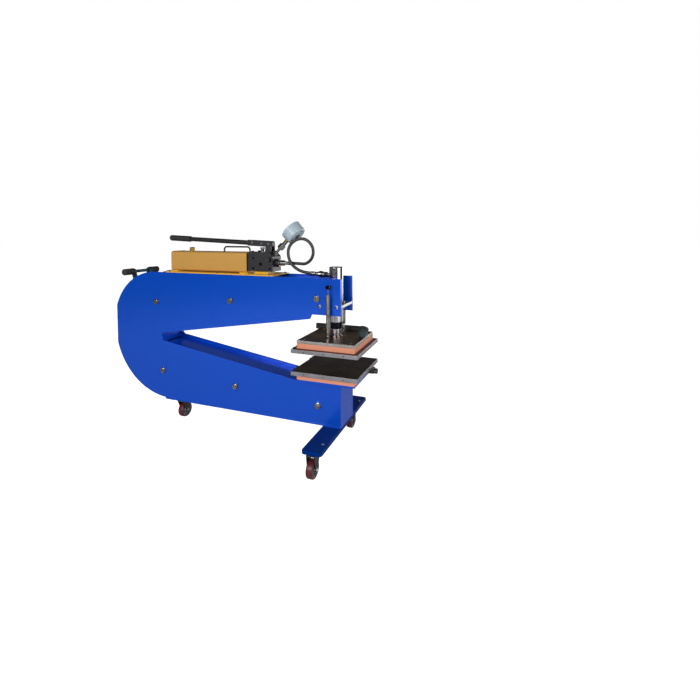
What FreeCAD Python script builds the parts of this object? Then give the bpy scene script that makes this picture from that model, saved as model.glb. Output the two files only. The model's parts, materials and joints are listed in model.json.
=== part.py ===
import FreeCAD, Part

import math
import os
import re

from FreeCAD import Placement, Rotation, Vector

# A mobile deep-throat hydraulic press. Millimetres, +Z up, floor at Z = 0.
# The origin is on the floor at the centre of the whole object's box. +X points to the
# platen end, the hand pump and push handle are towards -X, and Y = 0 is the mid-plane.

doc = FreeCAD.newDocument("deep_throat_press")

# ---------------------------------------------------------------- driving dimensions

DIMENSIONS = {
    # side plates: two identical C-shaped plates
    "front_x": 573,          # front ends of both arms
    "rear_reach": 1268,      # from the front ends back to the flat at the rear
    "frame_width": 156,
    "plate_thickness": 10,
    "frame_bottom": 135,
    "frame_top": 772,
    "top_bend_reach": 1010,
    "top_bend_radius": 274,
    "low_bend_reach": 929,
    "low_bend_radius": 352,
    "throat_reach": 972,
    "throat_end_bottom": 428,
    "throat_end_top": 464,
    "throat_corner": 18,
    "upper_edge_front_reach": 146,
    "upper_edge_front_height": 592,
    "head_reach": 136,
    "head_bottom": 613,
    "lower_edge_front_reach": 204,
    "lower_edge_front_height": 313,
    "lower_seat_height": 331,
    # plates between the side plates
    "cover_inset": 16,
    "cover_thickness": 5,
    "spine_inset": 8,
    "bottom_plate_thickness": 8,
    "bottom_plate_reach": 955,
    "top_cover_front_reach": 92,
    # tie bolts through both side plates
    "tie_radius": 8,
    "tie_tube_radius": 14,
    "tie_nut_radius": 13,
    "tie_nut_height": 9,
    "tie_bolt_end": 4,
    # foot beam and casters
    "beam_length": 576,
    "beam_width": 86,
    "beam_height": 16,
    "beam_wall": 5,
    "beam_corner": 12,
    "beam_edge": 3,
    "caster_inset": 61.5,
    "caster_front_reach": 54,
    "caster_rear_reach": 924,
    "caster_height": 111,
    "caster_plate_size": 74,
    "caster_plate_thickness": 4,
    "caster_wheel_radius": 37.5,
    "caster_wheel_width": 28,
    "caster_trail": 24,
    # platens
    "press_axis_reach": 51,
    "platen_size": 300,
    "platen_thickness": 17,
    "insulation_thickness": 22,
    "insulation_inset": 19,
    "backing_thickness": 13,
    "base_thickness": 8,
    "platen_gap": 79,
    # hydraulic cylinder
    "cylinder_radius": 31,
    "cylinder_top": 817,
    "cylinder_bottom": 574,
    "cylinder_bore_top": 770,
    "gland_radius": 28,
    "gland_height": 29,
    "ram_radius": 19,
    "ram_length": 190,
    "running_gap": 0.3,
    "adaptor_radius": 24,
    "mount_plate_reach": 112,
    "mount_plate_thickness": 12,
    "mount_plate_height": 645,
    "port_height": 780,
    # return springs
    "spring_offset": 95,
    "spring_radius": 9,
    "spring_wire": 3,
    "spring_low": 542,
    "spring_high": 706,
    "spring_bolt_height": 737,
    # hand pump
    "pump_plate_thickness": 5,
    "pump_plate_front_reach": 328,
    "pump_plate_rear_reach": 938,
    "foot_height": 5,
    "tank_rear_reach": 927,
    "tank_front_reach": 484,
    "tank_width": 100,
    "tank_height": 95,
    "tank_wall": 3,
    "tank_corner": 12,
    "block_front_reach": 350,
    "block_width": 80,
    "block_height": 96,
    "block_chamfer": 20,
    "block_lift": 12,
    "block_foot_length": 72,
    "outlet_height": 828,
    "pivot_reach": 383,
    "pivot_height": 916,
    "lever_angle": 2.7,
    "lever_tube_radius": 11,
    "lever_grip_radius": 14.5,
    "lever_length": 588,
    "plunger_reach": 425,
    "plunger_radius": 9,
    "cap_reach": 837,
    # gauge
    "gauge_reach": 257,
    "gauge_height": 966,
    "gauge_radius": 49,
    "gauge_depth": 50,
    # hose and push handle
    "hose_radius": 7,
    "handle_reach": 1178,
    "handle_height": 767,
    "handle_length": 222,
    "handle_bar_radius": 8,
    "handle_grip_radius": 16.5,
    "handle_grip_length": 58,
}

sheet = doc.addObject("Spreadsheet::Sheet", "Dimensions")
for row, (name, value) in enumerate(DIMENSIONS.items(), start=1):
    sheet.set(f"A{row}", name)
    sheet.set(f"B{row}", str(value))
    sheet.setAlias(f"B{row}", name)
doc.recompute()


class D:
    """The driving dimensions as plain numbers, read back from the sheet."""


for name in DIMENSIONS:
    setattr(D, name, float(sheet.get(name)))

WORDS = re.compile(r"(?<![\w.])(" + "|".join(sorted(DIMENSIONS, key=len, reverse=True)) + r")\b")
NODES = []  # the labels of the objects that are written to parts/


def bind(obj, **formulas):
    """Tie properties of an object to formulas of the sheet's aliases."""
    for prop, formula in formulas.items():
        path = {"x": "Placement.Base.x", "y": "Placement.Base.y", "z": "Placement.Base.z"}.get(prop, prop)
        obj.setExpression(path, WORDS.sub(r"Dimensions.\1", str(formula)))
    return obj


def node(obj, label):
    """Give an object the label that names its file."""
    obj.Label = label
    NODES.append(obj)
    return obj


def at(reach, height, y=0.0):
    """A point from its distance behind the arms' front ends and its height."""
    return Vector(D.front_x - reach, y, height)


# ---------------------------------------------------------------- small builders

TURNS = {
    "z": Rotation(),
    "x": Rotation(Vector(0, 1, 0), 90),
    "y": Rotation(Vector(1, 0, 0), -90),
}


def box(name, x, y, z, length, width, height):
    """A Part::Box whose corner and sides are formulas."""
    obj = doc.addObject("Part::Box", name)
    return bind(obj, Length=length, Width=width, Height=height, x=x, y=y, z=z)


def cylinder(name, x, y, z, radius, height, axis="z"):
    """A Part::Cylinder that starts at a point and runs along +x, +y or +z."""
    obj = doc.addObject("Part::Cylinder", name)
    obj.Placement = Placement(Vector(), TURNS[axis])
    return bind(obj, Radius=radius, Height=height, x=x, y=y, z=z)


def cut(name, base, *tools):
    """A boolean cut of one or more tools from a base."""
    tool = tools[0] if len(tools) == 1 else fuse(name + "_tools", *tools)
    obj = doc.addObject("Part::Cut", name)
    obj.Base, obj.Tool = base, tool
    return obj


def fuse(name, *shapes):
    obj = doc.addObject("Part::MultiFuse", name)
    obj.Shapes = list(shapes)
    return obj


def group(name, *shapes):
    """Several separate solids that share one node."""
    obj = doc.addObject("Part::Compound", name)
    obj.Links = list(shapes)
    return obj


def rounded(name, base, radius, keep):
    """Fillet of the edges of base that keep(edge) chooses."""
    doc.recompute()
    edges = [i for i, edge in enumerate(base.Shape.Edges, start=1) if keep(edge)]
    obj = doc.addObject("Part::Fillet", name)
    obj.Base = base
    obj.Edges = [(i, radius, radius) for i in edges]
    return obj


def along(axis):
    """A test for straight edges that run along an axis."""

    def test(edge):
        a, b = edge.Vertexes[0].Point, edge.Vertexes[-1].Point
        return len(edge.Vertexes) == 2 and abs(abs((b - a).normalize() * axis) - 1) < 1e-6

    return test


def profile_pad(name, segments, width, y):
    """A PartDesign pad of an X-Z outline: its near face is at y and it is width deep in +Y.

    A segment is a list of two (X, Z) points for a straight side, or three for an arc.
    """
    body = doc.addObject("PartDesign::Body", name)
    plane = next(f for f in body.Origin.OriginFeatures if f.Role == "XZ_Plane")
    sketch = body.newObject("Sketcher::SketchObject", name + "_outline")
    sketch.AttachmentSupport = (plane, [""])
    sketch.MapMode = "FlatFace"
    for segment in segments:
        points = [Vector(px, pz, 0) for px, pz in segment]
        sketch.addGeometry(Part.LineSegment(*points) if len(points) == 2 else Part.Arc(*points))
    pad = body.newObject("PartDesign::Pad", name + "_pad")
    pad.Profile = sketch
    pad.Reversed = True  # the plane's normal points to -Y
    bind(pad, Length=width)
    bind(body, y=y)
    body.Tip = pad
    return body


def polygon(*points):
    """The straight sides of a closed outline."""
    return [[a, b] for a, b in zip(points, points[1:] + points[:1])]


def revolved(name, profile, start, direction):
    """A turned piece: (distance, radius) pairs along its axis from a start point."""
    points = [Vector(profile[0][0], 0, 0)]
    points += [Vector(along_axis, radius, 0) for along_axis, radius in profile]
    points += [Vector(profile[-1][0], 0, 0), Vector(profile[0][0], 0, 0)]
    face = Part.Face(Part.makePolygon(points))
    solid = face.revolve(Vector(), Vector(1, 0, 0), 360)
    obj = doc.addObject("Part::Feature", name)
    obj.Shape = solid
    obj.Placement = Placement(start, Rotation(Vector(1, 0, 0), direction))
    return obj


def hexagon(name, across, length, start, direction):
    """A hexagonal prism; across is the distance between two flats."""
    radius = across / math.sqrt(3)
    corners = [
        Vector(0, radius * math.cos(math.radians(60 * i)), radius * math.sin(math.radians(60 * i)))
        for i in range(7)
    ]
    obj = doc.addObject("Part::Feature", name)
    obj.Shape = Part.Face(Part.makePolygon(corners)).extrude(Vector(length, 0, 0))
    obj.Placement = Placement(start, Rotation(Vector(1, 0, 0), direction))
    return obj


# ---------------------------------------------------------------- side plates

INNER = "frame_width / 2 - plate_thickness"  # half of the space between the plates


def rear_path(inset):
    """The rear outline from the top edge round to the bottom edge, moved inwards by inset."""
    top_x, low_x = D.front_x - D.top_bend_reach, D.front_x - D.low_bend_reach
    top_r, low_r = D.top_bend_radius - inset, D.low_bend_radius - inset
    top_z = D.frame_top - D.top_bend_radius
    low_z = D.frame_bottom + D.low_bend_radius
    flat_x = D.front_x - D.rear_reach + inset

    def on_arc(cx, cz, radius, angle):
        return (cx + radius * math.cos(angle), cz + radius * math.sin(angle))

    top_end = math.acos((flat_x - top_x) / top_r)
    low_end = -math.acos((flat_x - low_x) / low_r)
    top_arc = [on_arc(top_x, top_z, top_r, a) for a in (math.pi / 2, (math.pi / 2 + top_end) / 2, top_end)]
    low_arc = [on_arc(low_x, low_z, low_r, a) for a in (low_end, (low_end - math.pi / 2) / 2, -math.pi / 2)]
    return [top_arc, [top_arc[-1], low_arc[0]], low_arc]


def corner_arc(before, corner, after, radius):
    """The tangent arc that rounds a corner: its start, middle and end."""
    a = (Vector(*before, 0) - Vector(*corner, 0)).normalize()
    b = (Vector(*after, 0) - Vector(*corner, 0)).normalize()
    half = math.acos(max(-1, min(1, a * b))) / 2
    middle = (a + b).normalize()
    here = Vector(*corner, 0)
    points = [
        here + a * (radius / math.tan(half)),
        here + middle * (radius / math.sin(half) - radius),
        here + b * (radius / math.tan(half)),
    ]
    return [(p.x, p.y) for p in points]


def upper_edge(reach):
    """Height of the upper arm's sloping lower edge at a reach."""
    share = (reach - D.upper_edge_front_reach) / (D.throat_reach - D.upper_edge_front_reach)
    return D.upper_edge_front_height + share * (D.throat_end_top - D.upper_edge_front_height)


def lower_edge(reach):
    """Height of the lower arm's sloping top edge at a reach."""
    share = (reach - D.lower_edge_front_reach) / (D.throat_reach - D.lower_edge_front_reach)
    return D.lower_edge_front_height + share * (D.throat_end_bottom - D.lower_edge_front_height)


def plate_outline():
    front = D.front_x
    top_arc, flat, low_arc = rear_path(0)
    seat_front = (front, D.lower_seat_height)
    seat_back = (front - D.lower_edge_front_reach + 10, D.lower_seat_height)
    lower_front = (front - D.lower_edge_front_reach, D.lower_edge_front_height)
    throat_low = (front - D.throat_reach, D.throat_end_bottom)
    throat_high = (front - D.throat_reach, D.throat_end_top)
    upper_front = (front - D.upper_edge_front_reach, D.upper_edge_front_height)
    head_back = (front - D.head_reach, D.head_bottom)
    low_round = corner_arc(lower_front, throat_low, throat_high, D.throat_corner)
    high_round = corner_arc(throat_low, throat_high, upper_front, D.throat_corner)
    bottom_front, top_front = (front, D.frame_bottom), (front, D.frame_top)
    return [
        [(front, D.frame_top), top_arc[0]], top_arc, flat, low_arc,
        [low_arc[-1], bottom_front], [bottom_front, seat_front], [seat_front, seat_back],
        [seat_back, lower_front], [lower_front, low_round[0]], low_round,
        [low_round[-1], high_round[0]], high_round, [high_round[-1], upper_front],
        [upper_front, head_back], [head_back, (front, D.head_bottom)],
        [(front, D.head_bottom), top_front],
    ]


TIES = [  # (reach, height) of each tie bolt
    (999, 622), (554, 651), (110, 683),
    (964, 274), (532, 245), (107, 215),
]
MOUNT_SCREWS = [98, 20]  # reaches of the screws that hold the cylinder's mounting plate
MOUNT_SCREW_RADIUS = 4

for side, y_near in (("near", "-frame_width / 2"), ("far", "frame_width / 2 - plate_thickness")):
    blank = profile_pad(f"plate_{side}_blank", plate_outline(), "plate_thickness", y_near)
    holes = [
        cylinder(f"plate_{side}_tie_hole", f"front_x - {reach}", y_near + " - 1", height,
                 "tie_radius", "plate_thickness + 2", "y")
        for reach, height in TIES
    ]
    holes += [
        cylinder(f"plate_{side}_screw_hole", f"front_x - {reach}", y_near + " - 1",
                 "mount_plate_height + mount_plate_thickness / 2", MOUNT_SCREW_RADIUS,
                 "plate_thickness + 2", "y")
        for reach in MOUNT_SCREWS
    ]
    holes.append(
        cylinder(f"plate_{side}_spring_hole", "front_x - press_axis_reach", y_near + " - 1",
                 "spring_bolt_height", 5, "plate_thickness + 2", "y"))
    node(cut(f"side_plate_{side}", blank, *holes), f"side_plate_{side}")

# ---------------------------------------------------------------- plates between the sides


def between(name, segments):
    """A plate that fills the space between the side plates."""
    return profile_pad(name, segments, "frame_width - 2 * plate_thickness", f"-({INNER})")


def sloping_strip(name, low_reach, high_reach, height_at, inset):
    """A cover parallel to a sloping edge; inset is signed, upwards positive."""
    depth = math.copysign(D.cover_thickness, inset)
    outline = []
    for reach, extra in ((low_reach, 0), (high_reach, 0), (high_reach, depth), (low_reach, depth)):
        outline.append((D.front_x - reach, height_at(reach) + inset + extra))
    return node(between(name, polygon(*outline)), name)


sloping_strip("upper_arm_cover", 150, D.throat_reach - D.cover_thickness, upper_edge, D.cover_inset)
sloping_strip("lower_arm_cover", 210, D.throat_reach - D.cover_thickness, lower_edge, -D.cover_inset)

throat_back = D.front_x - D.throat_reach - D.cover_inset
node(between("throat_cover", polygon(
    (throat_back, D.throat_end_bottom - D.cover_inset - 2),
    (throat_back, D.throat_end_top + D.cover_inset + 2),
    (throat_back + D.cover_thickness, D.throat_end_top + D.cover_inset + 2),
    (throat_back + D.cover_thickness, D.throat_end_bottom - D.cover_inset - 2),
)), "throat_cover")

outer, inner = rear_path(D.spine_inset), rear_path(D.spine_inset + D.cover_thickness)
for path, inset in ((outer, D.spine_inset), (inner, D.spine_inset + D.cover_thickness)):
    # a straight stretch runs forward from the bend to below the pump plate
    path.insert(0, [(D.front_x - D.pump_plate_rear_reach + 4, D.frame_top - inset), path[0][0]])
spine_outline = outer + [[outer[-1][-1], inner[-1][-1]]]
spine_outline += [segment[::-1] for segment in inner[::-1]] + [[inner[0][0], outer[0][0]]]
node(between("spine_cover", spine_outline), "spine_cover")

under = box("under_plate", "front_x - bottom_plate_reach", "-frame_width / 2",
            "frame_bottom - bottom_plate_thickness",
            "bottom_plate_reach", "frame_width", "bottom_plate_thickness")
front_flange = box("front_flange", "front_x - bottom_plate_thickness", f"-({INNER})", "frame_bottom",
                   "bottom_plate_thickness", "frame_width - 2 * plate_thickness",
                   "lower_seat_height - frame_bottom")
node(fuse("bottom_plate", under, front_flange), "bottom_plate")

node(box("top_cover", "front_x - pump_plate_front_reach", f"-({INNER})",
         "frame_top - cover_inset - cover_thickness",
         "pump_plate_front_reach - top_cover_front_reach",
         "frame_width - 2 * plate_thickness", "cover_thickness"), "top_cover")

# ---------------------------------------------------------------- tie bolts, nuts and screws

rods, tubes, nuts = [], [], []
for reach, height in TIES:
    rods.append(cylinder("tie_rod", f"front_x - {reach}",
                         "-frame_width / 2 - tie_nut_height - tie_bolt_end", height,
                         "tie_radius", "frame_width + 2 * tie_nut_height + 2 * tie_bolt_end", "y"))
    tube = cylinder("tie_tube_outer", f"front_x - {reach}", f"-({INNER})", height,
                    "tie_tube_radius", "frame_width - 2 * plate_thickness", "y")
    bore = cylinder("tie_tube_bore", f"front_x - {reach}", f"-({INNER}) - 1", height,
                    "tie_radius", "frame_width - 2 * plate_thickness + 2", "y")
    tubes.append(cut("tie_tube", tube, bore))
    for side in (-1, 1):
        start = at(reach, height, side * D.frame_width / 2)
        nut = hexagon("tie_nut_blank", 2 * D.tie_nut_radius, D.tie_nut_height, start, Vector(0, side, 0))
        hole = cylinder("tie_nut_hole", f"front_x - {reach}", "-frame_width", height,
                        "tie_radius", "2 * frame_width", "y")
        nuts.append(cut("tie_nut", nut, hole))
node(group("tie_bolts", *rods, *tubes, *nuts), "tie_bolts")

screws = []
SCREW_HEAD_RADIUS, SCREW_HEAD_HEIGHT = 7, 5
for side in (-1, 1):
    face = side * D.frame_width / 2
    for reach in MOUNT_SCREWS:
        height = D.mount_plate_height + D.mount_plate_thickness / 2
        screws.append(revolved("mount_screw", [
            (-D.plate_thickness, MOUNT_SCREW_RADIUS), (0, MOUNT_SCREW_RADIUS), (0, SCREW_HEAD_RADIUS),
            (SCREW_HEAD_HEIGHT - 1, SCREW_HEAD_RADIUS), (SCREW_HEAD_HEIGHT, SCREW_HEAD_RADIUS - 1),
        ], at(reach, height, face), Vector(0, side, 0)))

anchors = []
HOOK_GAP = D.spring_offset - D.frame_width / 2  # from the plate's face to the spring's axis
for side in (-1, 1):
    anchors.append(revolved("spring_bolt", [
        (-D.plate_thickness, 5), (0, 5), (0, 9), (4, 9), (4, 5),
        (HOOK_GAP + 4, 5), (HOOK_GAP + 4, 9), (HOOK_GAP + 9, 9),
    ], at(D.press_axis_reach, D.spring_bolt_height, side * D.frame_width / 2), Vector(0, side, 0)))
node(group("spring_bolts", *anchors), "spring_bolts")

# ---------------------------------------------------------------- foot beam and caster mounts

shell = box("beam_outside", "front_x - beam_width", "-beam_length / 2", "caster_height",
            "beam_width", "beam_length", "beam_height")
shell = rounded("beam_corners", shell, D.beam_corner, along(Vector(0, 0, 1)))
shell = rounded("beam_edges", shell, D.beam_edge, lambda edge: (
    along(Vector(0, 1, 0))(edge) and edge.Vertexes[0].Z > D.caster_height + 1))
hollow = box("beam_inside", "front_x - beam_width + beam_wall", "-beam_length / 2 + beam_wall",
             "caster_height - 1", "beam_width - 2 * beam_wall", "beam_length - 2 * beam_wall",
             "beam_height - beam_wall + 1")
node(cut("foot_beam", shell, hollow), "foot_beam")

seats = [
    box(f"beam_seat_{side}", "front_x - beam_width + beam_wall",
        f"{sign} * (beam_length / 2 - caster_inset) - beam_width / 2 + beam_wall", "caster_height",
        "beam_width - 2 * beam_wall", "beam_width - 2 * beam_wall", "6")
    for side, sign in (("near", -1), ("far", 1))
]
seats.append(box("rear_seat", "front_x - caster_rear_reach - beam_width / 2", "-beam_width / 2",
                 "caster_height", "beam_width", "beam_width", "beam_height"))
seats[-1] = rounded("rear_seat_rounded", seats[-1], D.beam_corner, along(Vector(0, 0, 1)))
node(group("caster_seats", *seats), "caster_seats")

screws += [
    revolved("beam_screw", [(0, 6), (3, 6), (4, 5)],
             Vector(D.front_x - 20, side * (D.beam_length / 2 - D.caster_inset),
                    D.caster_height + D.beam_height), Vector(0, 0, 1))
    for side in (-1, 1)
]
node(group("frame_screws", *screws), "frame_screws")

# ---------------------------------------------------------------- casters

CASTERS = {  # swivel axis, and the heading from the swivel axis to the wheel
    "front_near": ("front_x - caster_front_reach", "-(beam_length / 2 - caster_inset)", -90),
    "front_far": ("front_x - caster_front_reach", "beam_length / 2 - caster_inset", -90),
    "rear": ("front_x - caster_rear_reach", "0", 90),
}
AXLE_RADIUS = 5
FORK_WALL = 3
FORK_GAP = 2  # between the wheel's side and the fork's leg
RACE_HEIGHT = 5
SWIVEL_GAP = 1
HEAD_BOTTOM = D.caster_height - D.caster_plate_thickness
CROWN_TOP = HEAD_BOTTOM - RACE_HEIGHT - SWIVEL_GAP
CROWN_HEIGHT = 6
AXLE_X, AXLE_Z = "caster_trail", "caster_wheel_radius"


def place_caster(obj, name):
    """Move a piece built round the origin, with its wheel towards +X, to its caster."""
    x, y, heading = CASTERS[name]
    obj.Placement = Placement(Vector(), Rotation(Vector(0, 0, 1), heading))
    return bind(obj, x=x, y=y)


heads = []
for name in CASTERS:
    plate = box("caster_plate", "-caster_plate_size / 2", "-caster_plate_size / 2", HEAD_BOTTOM,
                "caster_plate_size", "caster_plate_size", "caster_plate_thickness")
    plate = rounded("caster_plate_rounded", plate, 6, along(Vector(0, 0, 1)))
    race = cylinder("caster_race", 0, 0, HEAD_BOTTOM - RACE_HEIGHT, 24, RACE_HEIGHT)
    heads.append(place_caster(fuse("caster_head", plate, race), name))
node(group("caster_heads", *heads), "caster_heads")

LEG_TOP_REAR, LEG_TOP_FRONT = -13, D.caster_trail + 20
for name in CASTERS:
    half = f"(caster_wheel_width / 2 + {FORK_GAP})"
    crown = cylinder("fork_crown", 0, 0, CROWN_TOP - CROWN_HEIGHT, 22, CROWN_HEIGHT)
    bridge = box("fork_bridge", LEG_TOP_REAR, f"-{half} - {FORK_WALL}", CROWN_TOP - CROWN_HEIGHT,
                 LEG_TOP_FRONT - LEG_TOP_REAR, f"2 * ({half} + {FORK_WALL})", FORK_WALL)
    leg_top = CROWN_TOP - CROWN_HEIGHT + FORK_WALL
    rear_knee = (D.caster_trail - 10, D.caster_wheel_radius - 2)
    front_knee = (D.caster_trail + 10, D.caster_wheel_radius - 2)
    leg_outline = [
        [(LEG_TOP_REAR, leg_top), rear_knee],
        [rear_knee, (D.caster_trail, D.caster_wheel_radius - 11), front_knee],
        [front_knee, (LEG_TOP_FRONT, leg_top)],
        [(LEG_TOP_FRONT, leg_top), (LEG_TOP_REAR, leg_top)],
    ]
    legs = [
        profile_pad(f"fork_leg_{name}", leg_outline, FORK_WALL, leg_y)
        for leg_y in (half, f"-{half} - {FORK_WALL}")
    ]
    axle = cylinder("fork_axle", AXLE_X, f"-{half} - {FORK_WALL} - 4", AXLE_Z, AXLE_RADIUS,
                    f"2 * ({half} + {FORK_WALL} + 4)", "y")
    fork = fuse(f"caster_fork_{name}", crown, bridge, *legs, axle)
    node(place_caster(fork, name), f"caster_fork_{name}")

    side = "-caster_wheel_width / 2"
    tread = cylinder("tread_outside", AXLE_X, side, AXLE_Z, "caster_wheel_radius", "caster_wheel_width", "y")
    tread = rounded("tread_rounded", tread, 4, lambda edge: len(edge.Vertexes) == 1)
    rim = cylinder("tread_inside", AXLE_X, side + " - 1", AXLE_Z, "caster_wheel_radius - 8",
                   "caster_wheel_width + 2", "y")
    node(place_caster(cut(f"caster_tread_{name}", tread, rim), name), f"caster_tread_{name}")
    hub = cylinder("hub_outside", AXLE_X, side, AXLE_Z, "caster_wheel_radius - 8", "caster_wheel_width", "y")
    bore = cylinder("hub_bore", AXLE_X, side + " - 1", AXLE_Z, f"{AXLE_RADIUS} + running_gap",
                    "caster_wheel_width + 2", "y")
    node(place_caster(cut(f"caster_hub_{name}", hub, bore), name), f"caster_hub_{name}")

# ---------------------------------------------------------------- lower platen

AXIS = "(front_x - press_axis_reach)"


def slab(name, bottom, thickness, inset="0"):
    """A square plate on the press axis."""
    side = f"(platen_size - 2 * ({inset}))"
    return node(box(name, f"{AXIS} - {side} / 2", f"-{side} / 2", bottom, side, side, thickness), name)


seat = "lower_seat_height"
slab("lower_base_plate", seat, "base_thickness", "insulation_inset")
slab("lower_insulation", f"{seat} + base_thickness", "insulation_thickness", "insulation_inset")
slab("lower_platen", f"{seat} + base_thickness + insulation_thickness", "platen_thickness")
LOWER_TOP = D.lower_seat_height + D.base_thickness + D.insulation_thickness + D.platen_thickness

CONNECTOR_Y = 62
INSULATION_FACE = f"{AXIS} + platen_size / 2 - insulation_inset"
plug_body = box("lower_plug_body", INSULATION_FACE, CONNECTOR_Y - 17, LOWER_TOP - D.platen_thickness - 22,
                28, 34, 21.5)
plug_round = cylinder("lower_plug_round", f"{INSULATION_FACE} + 28", CONNECTOR_Y,
                      LOWER_TOP - D.platen_thickness - 13, 12, 14, "x")
node(fuse("lower_connector", plug_body, plug_round), "lower_connector")

# ---------------------------------------------------------------- cylinder

plate = box("mount_plate_blank", "front_x - mount_plate_reach", f"-({INNER})", "mount_plate_height",
            "mount_plate_reach", "frame_width - 2 * plate_thickness", "mount_plate_thickness")
hole = cylinder("mount_plate_hole", AXIS, "0", "mount_plate_height - 1", "cylinder_radius",
                "mount_plate_thickness + 2")
node(cut("cylinder_mount_plate", plate, hole), "cylinder_mount_plate")

barrel = cylinder("barrel_outside", AXIS, "0", "cylinder_bottom", "cylinder_radius",
                  "cylinder_top - cylinder_bottom")
barrel = rounded("barrel_rounded", barrel, 3, lambda edge: len(edge.Vertexes) == 1 and edge.Vertexes[0].Z > 700)
bore = cylinder("barrel_bore", AXIS, "0", "cylinder_bottom - 1", "ram_radius + running_gap",
                "cylinder_bore_top - cylinder_bottom + 1")
node(cut("cylinder_barrel", barrel, bore), "cylinder_barrel")

gland = cylinder("gland_outside", AXIS, "0", "cylinder_bottom - gland_height", "gland_radius", "gland_height")
gland_bore = cylinder("gland_bore", AXIS, "0", "cylinder_bottom - gland_height - 1",
                      "ram_radius + running_gap", "gland_height + 2")
rings = [cut("cylinder_gland", gland, gland_bore)]
for bottom in ("mount_plate_height - 10", "mount_plate_height + mount_plate_thickness"):
    ring = cylinder("ring_outside", AXIS, "0", bottom, "cylinder_radius + 9", "10")
    ring_hole = cylinder("ring_hole", AXIS, "0", f"{bottom} - 1", "cylinder_radius", "12")
    rings.append(cut("lock_ring", ring, ring_hole))
node(group("cylinder_rings", *rings), "cylinder_rings")

coupler_x = D.front_x - D.press_axis_reach - D.cylinder_radius
cylinder_coupler = revolved("cylinder_coupler_blank", [
    (-2, 8), (8, 8), (8, 14), (26, 14), (26, 12), (30, 12), (30, 15), (50, 15), (50, 12),
    (56, 12), (56, 9), (70, 8),
], Vector(coupler_x, 0, D.port_height), Vector(-1, 0, 0.055))
barrel_cutter = cylinder("coupler_cutter", AXIS, "0", "cylinder_bottom", "cylinder_radius",
                         "cylinder_top - cylinder_bottom")
node(cut("cylinder_coupler", cylinder_coupler, barrel_cutter), "cylinder_coupler")

# ---------------------------------------------------------------- ram and upper platen

GLAND_BOTTOM = "(cylinder_bottom - gland_height)"
backing_z = (D.lower_seat_height + D.base_thickness + 2 * D.platen_thickness + 2 * D.insulation_thickness
             + D.platen_gap)
UPPER_BOTTOM = (f"({seat} + base_thickness + insulation_thickness + platen_thickness + platen_gap)")
slab("upper_platen", UPPER_BOTTOM, "platen_thickness")
slab("upper_insulation", f"{UPPER_BOTTOM} + platen_thickness", "insulation_thickness", "insulation_inset")
slab("upper_backing_plate", f"{UPPER_BOTTOM} + platen_thickness + insulation_thickness", "backing_thickness",
     "insulation_inset")
BACKING_TOP = backing_z + D.backing_thickness

adaptor = revolved("ram_adaptor", [
    (0, D.adaptor_radius + 3), (7, D.adaptor_radius + 3), (9, D.adaptor_radius - 4),
    (15, D.adaptor_radius - 4), (15, D.adaptor_radius), (D.cylinder_bottom - D.gland_height - BACKING_TOP - 1,
                                                        D.adaptor_radius),
], Vector(D.front_x - D.press_axis_reach, 0, BACKING_TOP), Vector(0, 0, 1))
node(adaptor, "ram_adaptor")
node(cylinder("ram", AXIS, "0", f"{GLAND_BOTTOM} - 1", "ram_radius", "ram_length"), "ram")

post = Vector(D.front_x - D.press_axis_reach + 119, 6, BACKING_TOP)
foot = revolved("upper_plug_foot", [(0, 12), (10, 12)], post, Vector(0, 0, 1))
LEAN = Vector(0.24, 0, 1).normalize()
plug = revolved("upper_plug_body", [(0, 17), (22, 18), (22, 22), (36, 23), (40, 20)],
                post + Vector(0, 0, 8), LEAN)
node(fuse("upper_connector", foot, plug), "upper_connector")

duct_y = "platen_size / 2 - insulation_inset"
node(box("wire_duct", f"{AXIS} - 160", duct_y, BACKING_TOP - 9, 236, 18, 26), "wire_duct")

eyes = []
for side in (-1, 1):
    foot = revolved("eye_foot", [(0, 9), (5, 9), (5, 4), (14, 4)],
                    Vector(D.front_x - D.press_axis_reach, side * D.spring_offset, BACKING_TOP), Vector(0, 0, 1))
    ring = doc.addObject("Part::Torus", "eye_ring")
    ring.Placement = Placement(Vector(), TURNS["x"])
    bind(ring, Radius1="7", Radius2="2.5", x=AXIS, y=f"{side} * spring_offset", z=BACKING_TOP + 19.5)
    eyes.append(fuse("spring_eye", foot, ring))
node(group("spring_eyes", *eyes), "spring_eyes")

for side, sign in (("near", -1), ("far", 1)):
    spring_y = sign * D.spring_offset
    coil = cylinder("coil_outside", AXIS, f"{sign} * spring_offset", "spring_low", "spring_radius",
                    "spring_high - spring_low")
    core = cylinder("coil_inside", AXIS, f"{sign} * spring_offset", "spring_low + spring_wire",
                    "spring_radius - spring_wire", "spring_high - spring_low - 2 * spring_wire")
    low_end = BACKING_TOP + 29.2  # just above the eye's ring
    tail = cylinder("low_hook", AXIS, f"{sign} * spring_offset", low_end, "spring_wire / 2",
                    f"spring_low - {low_end}")
    head = cylinder("high_hook", AXIS, f"{sign} * spring_offset", "spring_high", "spring_wire / 2",
                    "spring_bolt_height - 5 - spring_high")
    node(fuse(f"spring_{side}", cut("coil", coil, core), tail, head), f"spring_{side}")

# ---------------------------------------------------------------- pump plate, tank and feet

PLATE_TOP = D.frame_top + D.pump_plate_thickness
flat = box("pump_plate_flat", "front_x - pump_plate_rear_reach", "-frame_width / 2", "frame_top",
           "pump_plate_rear_reach - pump_plate_front_reach", "frame_width", "pump_plate_thickness")

FEET_TOP = PLATE_TOP + D.foot_height
feet = [
    box("pump_foot", f"front_x - {reach}", "-tank_width / 2", PLATE_TOP, "46", "tank_width", "foot_height")
    for reach in (D.tank_rear_reach + 4, D.tank_front_reach + 40)
]
feet.append(box("block_foot", "front_x - (block_front_reach + tank_front_reach + block_foot_length) / 2",
                "-block_width / 2 + 10", PLATE_TOP, "block_foot_length", "block_width - 20", "block_lift"))
node(fuse("pump_plate", flat, *feet), "pump_plate")

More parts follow.
